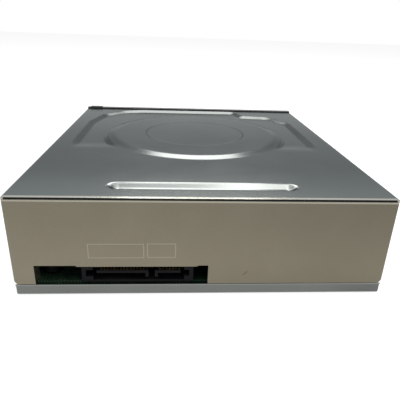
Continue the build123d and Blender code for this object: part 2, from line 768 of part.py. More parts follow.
# Loading gear train
phase_rack = 180 / rack_gear_teeth
with BuildPart() as drive_gear:
    toothed_disc(drive_x, drive_y, drive_base, drive_base + gear_face, drive_teeth,
                 train_module, train_angle)
    post(drive_x, drive_y, drive_base, rack_base + 0.3, rack_gear_teeth * rack_module / 2 - 1.4)
    toothed_disc(drive_x, drive_y, rack_base + 0.3, tray_base - 0.4, rack_gear_teeth,
                 rack_module, phase_rack)
    post(drive_x, drive_y, drive_base - 1, tray_base + 1, pin_radius + running_gap,
         mode=Mode.SUBTRACT)
save(drive_gear, "drive_gear")

pinion_phase = train_angle + 180 + 180 / pinion_teeth
with BuildPart() as pulley_gear:
    toothed_disc(pulley_x, pulley_y, drive_base, belt_z - 1.6, pinion_teeth,
                 train_module, pinion_phase)
    with BuildSketch(Plane.XZ.offset(-pulley_y)) as pulley_section:
        with BuildLine():
            Polyline(
                (0, belt_z - 1.6), (pulley_radius + 0.8, belt_z - 1.6),
                (pulley_radius + 0.8, belt_z - 1.0), (pulley_radius, belt_z - 0.7),
                (pulley_radius, belt_z + 0.7), (pulley_radius + 0.8, belt_z + 1.0),
                (pulley_radius + 0.8, belt_z + 1.6), (0, belt_z + 1.6), close=True)
        make_face()
    revolve(pulley_section.sketch.moved(Location((pulley_x, 0, 0))),
            axis=Axis((pulley_x, pulley_y, 0), (0, 0, 1)))
    post(pulley_x, pulley_y, drive_base - 1, belt_z + 3, pin_radius + running_gap,
         mode=Mode.SUBTRACT)
save(pulley_gear, "pulley_gear")

with BuildPart() as motor_pulley:
    with BuildSketch(Plane.XZ.offset(-motor_y)) as pulley_profile:
        with BuildLine():
            Polyline(
                (0, belt_z - 1.6), (motor_pulley_radius + 0.8, belt_z - 1.6),
                (motor_pulley_radius + 0.8, belt_z - 1.0), (motor_pulley_radius, belt_z - 0.7),
                (motor_pulley_radius, belt_z + 0.7), (motor_pulley_radius + 0.8, belt_z + 1.0),
                (motor_pulley_radius + 0.8, belt_z + 1.6), (0, belt_z + 1.6), close=True)
        make_face()
    revolve(pulley_profile.sketch.moved(Location((motor_x, 0, 0))),
            axis=Axis((motor_x, motor_y, 0), (0, 0, 1)))
    post(motor_x, motor_y, floor_base + 0.3, belt_z - 1.0, 1.0)
save(motor_pulley, "motor_pulley")

with BuildPart() as loading_motor:
    with Locations((motor_x, motor_y, floor_base - motor_height)):
        Cylinder(motor_radius, motor_height, align=(Align.CENTER, Align.CENTER, Align.MIN))
    chamfer(loading_motor.edges().filter_by(GeomType.CIRCLE), 0.8)
    post(motor_x, motor_y, floor_base - 0.5, floor_base + 1.0, 3.2)
    post(motor_x, motor_y, floor_base - 3.0, floor_base + 2.0, 1.0 + running_gap,
         mode=Mode.SUBTRACT)
save(loading_motor, "loading_motor")

belt_span = motor_x - pulley_x
belt_length = abs(belt_span)
belt_turn = math.degrees(math.asin((pulley_radius - motor_pulley_radius) / belt_length))
with BuildPart() as loading_belt:
    with BuildSketch(Plane.XY.offset(belt_z - belt_size / 2)):
        for grow, mode in ((belt_size + belt_gap, Mode.ADD), (belt_gap, Mode.SUBTRACT)):
            big, small = pulley_radius + grow, motor_pulley_radius + grow
            lean = math.radians(belt_turn)
            with Locations((pulley_x, pulley_y)):
                Circle(big, mode=mode)
            with Locations((motor_x, motor_y)):
                Circle(small, mode=mode)
            with BuildLine():
                Polyline(
                    (pulley_x - big * math.sin(lean), pulley_y + big * math.cos(lean)),
                    (motor_x - small * math.sin(lean), motor_y + small * math.cos(lean)),
                    (motor_x - small * math.sin(lean), motor_y - small * math.cos(lean)),
                    (pulley_x - big * math.sin(lean), pulley_y - big * math.cos(lean)),
                    close=True)
            make_face(mode=mode)
    extrude(amount=belt_size)
save(loading_belt, "loading_belt")

# Slide cam with two sloping slots for the traverse's front pins
cam_pin_z = cam_pin_height
with BuildPart() as slide_cam:
    with BuildSketch(Plane.XZ.offset(-cam_y)) as cam_face:
        corner_rectangle(-cam_pin_x - cam_travel - 6.0, cam_pin_x + 6.0, cam_base, cam_top)
        for x in (-cam_pin_x, cam_pin_x):
            with BuildLine() as cam_track:
                Polyline((x + 0.8, cam_pin_z), (x, cam_pin_z),
                         (x - cam_travel, cam_pin_z - cam_drop),
                         (x - cam_travel - 0.8, cam_pin_z - cam_drop))
            trace(cam_track.line, line_width=2 * (cam_pin_radius + cam_slot_gap),
                  mode=Mode.SUBTRACT)
            for end in ((x + 0.4, cam_pin_z), (x - cam_travel - 0.4, cam_pin_z - cam_drop)):
                with Locations(end):
                    Circle(cam_pin_radius + cam_slot_gap, mode=Mode.SUBTRACT)
    extrude(amount=-cam_thick)
save(slide_cam, "slide_cam")

# Traverse: the deck that carries spindle, rods and pickup, hinged at its rear
deck_front = spindle_y - traverse_front
deck_rear = pivot_y + traverse_rear
deck_top = traverse_base + traverse_plate
window_front = spindle_y + turntable_radius + 1.0
window_rear = deck_rear - 6.5
rod_start = spindle_y + rod_front
rod_end = deck_rear - traverse_wall - 1.0
rod_length = rod_end - rod_start
with BuildPart() as traverse_frame:
    with BuildSketch(Plane.XY.offset(traverse_base)) as deck:
        corner_rectangle(-traverse_half, traverse_half, deck_front, deck_rear)
        fillet(deck.vertices(), 2.0)
        corner_rectangle(rod_right - 5.0, rod_left + 5.0, window_front, window_rear,
                         mode=Mode.SUBTRACT)
        corner_rectangle(screw_x - stepper_radius - 1.0, screw_x + stepper_radius + 1.0,
                         spindle_y - stepper_length - 10.0, spindle_y - 8.0, mode=Mode.SUBTRACT)
    extrude(amount=traverse_plate)
    with BuildSketch(Plane.XY.offset(traverse_base)) as rim:
        corner_rectangle(-traverse_half, traverse_half, deck_front, deck_rear)
        fillet(rim.vertices(), 2.0)
        offset(rim.sketch, amount=-traverse_wall, mode=Mode.SUBTRACT)
    extrude(amount=traverse_rim)
    for x in (rod_left, rod_right):
        for y in (rod_start - 1.0, rod_end - 3.0):
            slab(x - 3.4, x + 3.4, y, y + 4.0, traverse_base, rod_height + 2.6)
        with Locations(Location((x, (rod_start + rod_end) / 2, rod_height), (90, 0, 0))):
            Cylinder(rod_radius, rod_length, mode=Mode.SUBTRACT)
    for side in (-1, 1):
        with Locations(Location((side * (traverse_half + 1.9), pivot_y, pivot_height),
                                (0, 90, 0))):
            Cylinder(pivot_radius, 6.2)
        with Locations(Location((side * cam_pin_x, deck_front - 1.9, cam_pin_height),
                                (90, 0, 0))):
            Cylinder(cam_pin_radius, 4.8)
save(traverse_frame, "traverse_frame")

with BuildPart() as guide_rods:
    for x in (rod_left, rod_right):
        with Locations(Location((x, (rod_start + rod_end) / 2, rod_height), (90, 0, 0))):
            Cylinder(rod_radius, rod_length)
save(guide_rods, "guide_rods")

# Stepper, its bracket and the lead screw that drives the pickup
stepper_front = spindle_y - stepper_length - 8.0
stepper_rear = stepper_front + stepper_length
screw_rear = deck_rear - traverse_wall - 2.5
with BuildPart() as screw_bracket:
    slab(screw_x - 3.6, screw_x + 3.6, stepper_rear, screw_rear + 1.0, deck_top, deck_top + 0.6)
    for y in (stepper_rear, screw_rear):
        slab(screw_x - 3.6, screw_x + 3.6, y, y + 1.0, deck_top, screw_height + 3.2)
    with Locations(Location((screw_x, (stepper_rear + screw_rear) / 2, screw_height),
                            (90, 0, 0))):
        Cylinder(screw_radius + running_gap, screw_rear - stepper_rear + 6.0,
                 mode=Mode.SUBTRACT)
save(screw_bracket, "screw_bracket")

with BuildPart() as stepper_motor:
    with Locations(Location((screw_x, (stepper_front + stepper_rear) / 2, screw_height),
                            (90, 0, 0))):
        Cylinder(stepper_radius, stepper_length)
    chamfer(stepper_motor.edges().filter_by(GeomType.CIRCLE), 0.4)
    with Locations(Location((screw_x, stepper_rear - 3.0, screw_height), (90, 0, 0))):
        Cylinder(screw_radius + running_gap, 8.0, mode=Mode.SUBTRACT)
save(stepper_motor, "stepper_motor")

with BuildPart() as lead_screw:
    with Locations(Location((screw_x, (stepper_rear + screw_rear - 4.0) / 2 + 1.0,
                             screw_height), (90, 0, 0))):
        Cylinder(screw_radius, screw_rear - stepper_rear + 4.0)
save(lead_screw, "lead_screw")

# Spindle motor: plate and stator on the deck, bell, turntable and hub that spin
spindle_plate = deck_top
rotor_base = spindle_plate + 2.6
with BuildPart() as spindle_base:
    with BuildSketch(Plane.XY.offset(spindle_plate)):
        with Locations((0, spindle_y)):
            RectangleRounded(38.0, 24.0, 3.0)
    extrude(amount=0.8)
    post(0, spindle_y, spindle_plate, rotor_base + 3.0, 3.4)
    for arm in range(9):
        angle = math.radians(40 * arm)
        with Locations(Location((6.4 * math.cos(angle), spindle_y + 6.4 * math.sin(angle),
                                 rotor_base + 1.4), (0, 0, 40 * arm))):
            Box(6.8, 2.2, 1.8)
    post(0, spindle_y, spindle_plate - 1, rotor_base + 6, 1.5 + running_gap, mode=Mode.SUBTRACT)
save(spindle_base, "spindle_base")

hub_top = disc_plane + 2.2
with BuildPart() as spindle_rotor:
    with BuildSketch(Plane.XZ.offset(-spindle_y)):
        with BuildLine():
            Polyline(
                (0, spindle_plate + 0.4), (1.5, spindle_plate + 0.4),
                (1.5, rotor_base + 4.0), (rotor_radius - 1.0, rotor_base + 4.0),
                (rotor_radius - 1.0, rotor_base - 0.8), (rotor_radius, rotor_base - 0.8),
                (rotor_radius, rotor_base + 5.0), (turntable_radius, rotor_base + 5.8),
                (turntable_radius, disc_plane - 0.5), (hub_radius + 0.6, disc_plane - 0.5),
                (hub_radius + 0.6, disc_plane - 0.9), (hub_radius, disc_plane - 0.9),
                (hub_radius, disc_plane + 0.9), (hub_radius - 1.6, hub_top),
                (3.0, hub_top), (2.2, hub_top - 1.0), (0, hub_top - 1.0), close=True)
        make_face()
    revolve(axis=Axis((0, spindle_y, 0), (0, 0, 1)))
save(spindle_rotor, "spindle_rotor")

with BuildPart() as turntable_pad:
    with Locations((0, spindle_y, disc_plane - 0.5)):
        Cylinder(turntable_radius - 0.3, 0.5, align=(Align.CENTER, Align.CENTER, Align.MIN))
        Cylinder(turntable_radius - 3.6, 0.5, align=(Align.CENTER, Align.CENTER, Align.MIN),
                 mode=Mode.SUBTRACT)
save(turntable_pad, "turntable_pad")

# Pickup sled riding on the two rods
sled_front = sled_y - sled_length / 2 + 2.5
sled_rear = sled_front + sled_length
with BuildPart() as pickup_body:
    with BuildSketch(Plane.XY.offset(sled_base)) as sled_outline:
        corner_rectangle(rod_right + 4.0, rod_left - 4.0, sled_front, sled_rear)
        corner_rectangle(rod_right - 3.2, rod_left + 3.2, sled_front + 5.0, sled_rear - 6.0)
        with Locations((0, spindle_y)):
            Circle(turntable_radius + 2.0, mode=Mode.SUBTRACT)
    extrude(amount=sled_top - sled_base)
    with BuildSketch(Plane.XY.offset(sled_base + 2.0)) as actuator_pit:
        with Locations((0, sled_y)):
            Rectangle(27.0, 11.6)
    extrude(amount=sled_top, mode=Mode.SUBTRACT)
    with Locations(Location((rod_right, sled_y, rod_height), (90, 0, 0))):
        Cylinder(rod_radius + running_gap, 60.0, mode=Mode.SUBTRACT)
    with Locations(Location((rod_left, sled_y, rod_height), (90, 0, 0))):
        Cylinder(rod_radius + running_gap, 60.0, mode=Mode.SUBTRACT)
    slab(rod_left, rod_left + 6.0, sled_front - 5.0, sled_rear + 5.0, rod_height - rod_radius
         - running_gap, rod_height + rod_radius + running_gap, mode=Mode.SUBTRACT)
save(pickup_body, "pickup_body")

with BuildPart() as rack_nut:
    slab(screw_x - 1.0, rod_right - 3.2, sled_y - 2.5, sled_y + 2.5, screw_height + 1.7,
         screw_height + 2.9)
    slab(screw_x - 2.4, screw_x + 2.4, sled_y - 2.5, sled_y + 2.5, screw_height,
         screw_height + 2.9)
    with Locations(Location((screw_x, sled_y, screw_height), (90, 0, 0))):
        Cylinder(screw_radius + running_gap, 20.0, mode=Mode.SUBTRACT)
save(rack_nut, "rack_nut")

with BuildPart() as actuator_base:
    with BuildSketch(Plane.XY.offset(sled_base + 2.0)):
        with Locations((0, sled_y)):
            Rectangle(26.0, 10.8)
    extrude(amount=0.8)
    for side in (-1, 1):
        slab(side * 7.6, side * 9.4, sled_y - 4.6, sled_y + 4.6, sled_base + 2.4,
             disc_plane - 3.6)
    slab(-12.6, -10.6, sled_y - 5.0, sled_y + 5.0, sled_base + 2.4, disc_plane - 3.6)
save(actuator_base, "actuator_base")

with BuildPart() as actuator_magnets:
    for side in (-1, 1):
        slab(side * 5.8, side * 7.6, sled_y - 4.2, sled_y + 4.2, sled_base + 2.8,
             disc_plane - 4.2)
save(actuator_magnets, "actuator_magnets")

holder_top = disc_plane - 2.6
lens_crown = 0.7
with BuildPart() as lens_holder:
    with BuildSketch(Plane.XY.offset(holder_top - 4.0)):
        with Locations((0, sled_y)):
            RectangleRounded(9.4, 9.6, 1.4)
    extrude(amount=4.0)
    with Locations((0, sled_y, holder_top)):
        Cylinder(lens_radius + 0.8, 0.5, align=(Align.CENTER, Align.CENTER, Align.MIN))
    post(0, sled_y, holder_top - 0.7, holder_top + 1.0, lens_radius, mode=Mode.SUBTRACT)
    post(0, sled_y, holder_top - 5.0, holder_top + 1.0, lens_radius - 0.7, mode=Mode.SUBTRACT)
save(lens_holder, "lens_holder")

with BuildPart() as objective_lens:
    with BuildSketch(Plane.XZ.offset(-sled_y)):
        with BuildLine():
            Polyline(
                (0, holder_top - 0.7), (lens_radius, holder_top - 0.7),
                (lens_radius, holder_top), (lens_radius * 0.75, holder_top + lens_crown * 0.45),
                (lens_radius * 0.4, holder_top + lens_crown * 0.85),
                (0, holder_top + lens_crown), close=True)
        make_face()
    revolve(axis=Axis((0, sled_y, 0), (0, 0, 1)))
save(objective_lens, "objective_lens")

# Main circuit board with its chips, capacitors and sockets
leg_holes = [(x, y) for x, y in leg_spots if y > 0]
with BuildPart() as main_board:
    with BuildSketch(Plane.XY.offset(pcb_base)):
        corner_rectangle(-pcb_half, pcb_half, pcb_front, pcb_rear)
        with Locations(*leg_holes):
            Circle(leg_radius + 0.8, mode=Mode.SUBTRACT)
    extrude(amount=pcb_thick)
save(main_board, "main_board")

with BuildPart() as controller_chip:
    slab(-32.0, -16.0, pcb_front + 16.0, pcb_front + 32.0, pcb_top, pcb_top + 1.4)
    chamfer(controller_chip.faces().sort_by(Axis.Z)[-1].edges(), 0.3)
save(controller_chip, "controller_chip")

with BuildPart() as driver_chip:
    slab(18.0, 29.0, pcb_front + 8.0, pcb_front + 16.0, pcb_top, pcb_top + 1.8)
    chamfer(driver_chip.faces().sort_by(Axis.Z)[-1].edges(), 0.3)
save(driver_chip, "driver_chip")

with BuildPart() as memory_chip:
    slab(-pcb_half + 14.0, -pcb_half + 19.0, pcb_front + 20.0, pcb_front + 26.0, pcb_top, pcb_top + 1.2)
save(memory_chip, "memory_chip")

capacitor_spots = [
    (pcb_half - 10.0, pcb_front + 30.0), (40.0, pcb_front + 34.0),
    (-pcb_half + 14.0, pcb_front + 36.0)]
with BuildPart() as board_capacitors:
    for x, y in capacitor_spots:
        post(x, y, pcb_top, pcb_top + 3.2, 2.0)
save(board_capacitors, "board_capacitors")

with BuildPart() as cable_sockets:
    slab(-10.0, 12.0, pcb_front + 2.0, pcb_front + 6.0, pcb_top, pcb_top + 2.0)
    slab(34.0, 44.0, pcb_front + 2.0, pcb_front + 6.0, pcb_top, pcb_top + 2.0)
save(cable_sockets, "cable_sockets")

# Flat cables: one loops up under the pickup, one runs forward to the switch board
with BuildPart() as pickup_cable:
    with BuildSketch(Plane.YZ.offset(-9.0)):
        with BuildLine() as pickup_route:
            FilletPolyline(
                (pcb_front + 2.0, pcb_top + 1.2), (pcb_front - 14.0, pcb_top + 1.2),
                (pcb_front - 14.0, pcb_top + 6.8), (pcb_front - 3.0, pcb_top + 6.8), radius=2.7)
        trace(pickup_route.line, line_width=0.2)
    extrude(amount=20.0)
save(pickup_cable, "pickup_cable")

with BuildPart() as front_cable:
    with BuildSketch(Plane.YZ.offset(35.0)):
        with BuildLine() as front_route:
            FilletPolyline(
                (pcb_front + 2.0, pcb_top + 1.2), (pcb_front - 4.0, pcb_top + 1.2),
                (pcb_front - 4.0, sheet + 0.5), (switch_board_y + 6.0, sheet + 0.5),
                (switch_board_y + 6.0, 7.4), (switch_board_y + board_thick, 7.4), radius=2.0)
        trace(front_route.line, line_width=0.2)
    extrude(amount=8.0)
save(front_cable, "front_cable")

# Combined power and data connector
connector_front = connector_rear - connector_depth
with BuildPart() as drive_connector:
    with BuildSketch(Plane.XZ.offset(-connector_rear)):
        corner_rectangle(connector_right, connector_left, pcb_top, pcb_top + connector_height)
        corner_rectangle(data_right - 1.4, power_left + 1.4, pcb_top + 1.0,
                         pcb_top + connector_height + 1, mode=Mode.SUBTRACT)
        corner_rectangle(connector_right + 1.6, connector_left - 1.6, pcb_top + 2.6,
                         pcb_top + connector_height - 2.0, mode=Mode.SUBTRACT)
    extrude(amount=connector_depth)
    slab(connector_right, connector_left, connector_front, connector_front + 3.0,
         pcb_top, pcb_top + connector_height)
    for x0, x1, leg in ((power_right, power_left, power_right), (data_right, data_left,
                                                                 data_left - tongue_thick)):
        slab(x0, x1, connector_front + 2.0, connector_rear, tongue_height - tongue_thick / 2,
             tongue_height + tongue_thick / 2)
        slab(leg, leg + tongue_thick, connector_front + 2.0, connector_rear,
             tongue_height - 2.4, tongue_height)
save(drive_connector, "drive_connector")

with BuildPart() as connector_contacts:
    for first, count in ((power_left - 1.6, power_contacts), (data_left - 2.0, data_contacts)):
        for pin in range(count):
            x = first - pin * contact_pitch
            slab(x - contact_width / 2, x + contact_width / 2, connector_front + 3.0,
                 connector_rear - 0.8, tongue_height + tongue_thick / 2,
                 tongue_height + tongue_thick / 2 + 0.1)
save(connector_contacts, "connector_contacts")
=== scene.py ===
import json
import logging
import math
from dataclasses import dataclass, field
from enum import Enum

import bmesh
import bpy
import numpy as np
from mathutils import Matrix, Vector


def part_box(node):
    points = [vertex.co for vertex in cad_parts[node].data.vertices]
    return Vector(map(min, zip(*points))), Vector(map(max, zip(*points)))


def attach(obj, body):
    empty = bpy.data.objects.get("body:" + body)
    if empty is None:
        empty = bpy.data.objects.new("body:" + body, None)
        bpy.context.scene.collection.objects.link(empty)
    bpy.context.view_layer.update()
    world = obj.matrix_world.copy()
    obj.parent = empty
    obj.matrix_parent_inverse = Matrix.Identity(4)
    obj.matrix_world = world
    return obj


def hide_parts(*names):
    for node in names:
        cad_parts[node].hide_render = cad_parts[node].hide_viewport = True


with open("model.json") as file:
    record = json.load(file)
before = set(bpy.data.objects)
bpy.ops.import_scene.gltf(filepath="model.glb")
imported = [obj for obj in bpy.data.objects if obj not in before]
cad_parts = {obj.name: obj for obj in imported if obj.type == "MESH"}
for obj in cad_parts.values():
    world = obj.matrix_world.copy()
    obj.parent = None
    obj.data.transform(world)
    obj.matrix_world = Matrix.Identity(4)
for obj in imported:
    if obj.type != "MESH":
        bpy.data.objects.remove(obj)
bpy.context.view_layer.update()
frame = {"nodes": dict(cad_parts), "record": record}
LOG = logging.getLogger("disc_writer")
# One millimetre in metres. Sizes of the object are given in millimetres.
MM = 0.001
# Places nearer to each other than this, in millimetres, count as one.
SLACK = 0.01
# Spacing of the cover's grid over its bends, in millimetres.
FINE = 0.5
Colour = tuple[int, int, int]
Span = tuple[float, float]
Point = tuple[float, float, float]
Socket = bpy.types.NodeSocket


class Grain(Enum):
    """Kinds of fine surface pattern."""

    ROLLED = "rolled sheet"
    MOULDED = "moulded plastic"
    CAST = "die cast"
    TURNED = "turned"
    GLASS = "polished"


@dataclass(frozen=True)
class Finish:
    """How one material slot looks; colours are 0 to 255 as seen on a screen."""

    slot: str
    colour: Colour
    shade: Colour
    metallic: float
    roughness: float
    grain: Grain
    grain_size: float = 1.0
    bump: float = 0.1
    wear: float = 0.3
    wear_colour: Colour = (190, 190, 188)
    dust: float = 0.1
    edge_radius: float = 0.15
    tint: Colour = (255, 255, 255)
    coat: float = 0.0
    transmission: float = 0.0
    ior: float = 1.5
    smear: float = 0.09
    specular: float = 0.5


@dataclass(frozen=True)
class Mark:
    """A colour that is laid over a surface, and how much of it covers."""

    colour: Colour
    share: float = 1.0


def linear(colour: Colour) -> tuple[float, float, float, float]:
    """Turn a screen colour into the linear colour that a shader takes.

    Args:
        colour: Red, green and blue from 0 to 255.

    Returns:
        Linear red, green, blue and an alpha of one.
    """
    parts = []
    for value in colour:
        share = value / 255
        parts.append(share / 12.92 if share <= 0.04045 else ((share + 0.055) / 1.055) ** 2.4)
    return parts[0], parts[1], parts[2], 1.0


class Wiring:
    """Adds nodes to one shader tree and joins them."""

    def __init__(self, tree: bpy.types.NodeTree) -> None:
        """Keep the tree that the nodes go into."""
        self.tree = tree

    def add(self, kind: str, **settings: object) -> bpy.types.Node:
        """Add a node.

        Args:
            kind: Blender's node type.
            **settings: Values of the node's own properties.

        Returns:
            The new node.
        """
        node = self.tree.nodes.new(kind)
        for name, value in settings.items():
            setattr(node, name, value)
        return node

    def feed(self, socket: Socket, value: object) -> None:
        """Join a socket to an output, or set its value.

        Args:
            socket: The input to fill.
            value: Another node's output, a number, or a colour or vector.
        """
        if isinstance(value, Socket):
            self.tree.links.new(value, socket)
        else:
            socket.default_value = value

    def maths(self, operation: str, *values: object, clamp: bool = False) -> Socket:
        """Add a Math node.

        Args:
            operation: The node's operation.
            *values: Outputs or numbers, in the order of the node's inputs.
            clamp: Whether the result is held between 0 and 1.

        Returns:
            The node's result.
        """
        node = self.add("ShaderNodeMath", operation=operation, use_clamp=clamp)
        for socket, value in zip(node.inputs, values):
            self.feed(socket, value)
        return node.outputs[0]

    def times(self, *values: object, clamp: bool = False) -> Socket:
        """Multiply values.

        Args:
            *values: Two or more outputs or numbers.
            clamp: Whether the product is held between 0 and 1.

        Returns:
            The product.
        """
        total = values[0]
        for value in values[1:-1]:
            total = self.maths("MULTIPLY", total, value)
        return self.maths("MULTIPLY", total, values[-1], clamp=clamp)

    def less(self, value: object, amount: object) -> Socket:
        """Subtract an amount from a value."""
        return self.maths("SUBTRACT", value, amount)

    def unsigned(self, value: object) -> Socket:
        """Return a value without its sign."""
        return self.maths("ABSOLUTE", value)

    def diagonal(self, first: object, second: object) -> Socket:
        """Return the length of the diagonal over two distances."""
        squares = self.maths("ADD", self.times(first, first), self.times(second, second))
        return self.maths("SQRT", squares)

    def ramp(self, value: object, low: float, high: float,
             start: float = 0.0, end: float = 1.0) -> Socket:
        """Map a value smoothly from one range to another.

        Args:
            value: The output to map.
            low: Value that gives the start.
            high: Value that gives the end.
            start: Result at and below low.
            end: Result at and above high.

        Returns:
            The mapped value.
        """
        node = self.add("ShaderNodeMapRange", interpolation_type="SMOOTHSTEP")
        for name, amount in (("Value", value), ("From Min", low), ("From Max", high),
                             ("To Min", start), ("To Max", end)):
            self.feed(node.inputs[name], amount)
        return node.outputs["Result"]

    def band(self, place: object, limits: Span) -> Socket:
        """Rise smoothly from 0 at one place to 1 at another, both in millimetres."""
        return self.ramp(place, limits[0] * MM, limits[1] * MM)

    def mix(self, share: object, first: object, second: Colour) -> Socket:
        """Lay one colour over another.

        Args:
            share: How much of the second colour shows.
            first: Screen colour or output.
            second: Screen colour.

        Returns:
            The mixed colour.
        """
        node = self.add("ShaderNodeMix", data_type="RGBA", blend_type="MIX")
        self.feed(node.inputs[0], share)
        self.feed(node.inputs[6], first if isinstance(first, Socket) else linear(first))
        self.feed(node.inputs[7], linear(second))
        return node.outputs[2]

    def lay(self, colour: Socket, *marks: tuple[Socket, Mark]) -> Socket:
        """Lay marks over a colour, one after the other.

        Args:
            colour: The colour so far.
            *marks: Each mark, after the mask of where it shows.

        Returns:
            The colour with the marks.
        """
        for mask, mark in marks:
            colour = self.mix(self.times(mask, mark.share), colour, mark.colour)
        return colour

    def noise(self, vector: object, scale: object, detail: float = 2.0,
              roughness: float = 0.5) -> Socket:
        """Add a Noise texture.

        Args:
            vector: Coordinates.
            scale: Number of blobs in a metre.
            detail: Octaves.
            roughness: Share of the fine octaves.

        Returns:
            Its value, about 0.5 on average.
        """
        node = self.add("ShaderNodeTexNoise")
        self.feed(node.inputs["Vector"], vector)
        self.feed(node.inputs["Scale"], scale)
        self.feed(node.inputs["Detail"], detail)
        self.feed(node.inputs["Roughness"], roughness)
        return node.outputs["Fac"]

    def stretch(self, vector: object, scale: Point) -> Socket:
        """Scale coordinates.

        Args:
            vector: Coordinates.
            scale: Factor on each axis.

        Returns:
            The new coordinates.
        """
        node = self.add("ShaderNodeMapping")
        self.feed(node.inputs["Vector"], vector)
        node.inputs["Scale"].default_value = scale
        return node.outputs["Vector"]

    def spot(self) -> Socket:
        """Return Object coordinates."""
        return self.add("ShaderNodeTexCoord").outputs["Object"]

    def normal(self) -> Socket:
        """Return the way that the surface faces."""
        return self.add("ShaderNodeNewGeometry").outputs["Normal"]

    def axes(self, vector: Socket) -> tuple[Socket, Socket, Socket]:
        """Split a vector.

        Args:
            vector: The vector.

        Returns:
            Its X, Y and Z.
        """
        node = self.add("ShaderNodeSeparateXYZ")
        self.feed(node.inputs[0], vector)
        return tuple(node.outputs)

    def bump(self, height: Socket, strength: float, depth: float, normal: Socket) -> Socket:
        """Raise a pattern from the surface.

        Args:
            height: The pattern.
            strength: How strongly it shows.
            depth: Its height in metres.
            normal: The normal so far.

        Returns:
            The normal with the pattern.
        """
        node = self.add("ShaderNodeBump")
        node.inputs["Strength"].default_value = strength
        node.inputs["Distance"].default_value = depth
        self.feed(node.inputs["Height"], height)
        self.feed(node.inputs["Normal"], normal)
        return node.outputs["Normal"]

    def group(self, tree: bpy.types.NodeTree, **values: object) -> bpy.types.Node:
        """Place a node group.

        Args:
            tree: The group.
            **values: Its inputs, with spaces written as underscores.

        Returns:
            The group's node.
        """
        node = self.add("ShaderNodeGroup", node_tree=tree)
        for name, value in values.items():
            self.feed(node.inputs[name.replace("_", " ")], value)
        return node


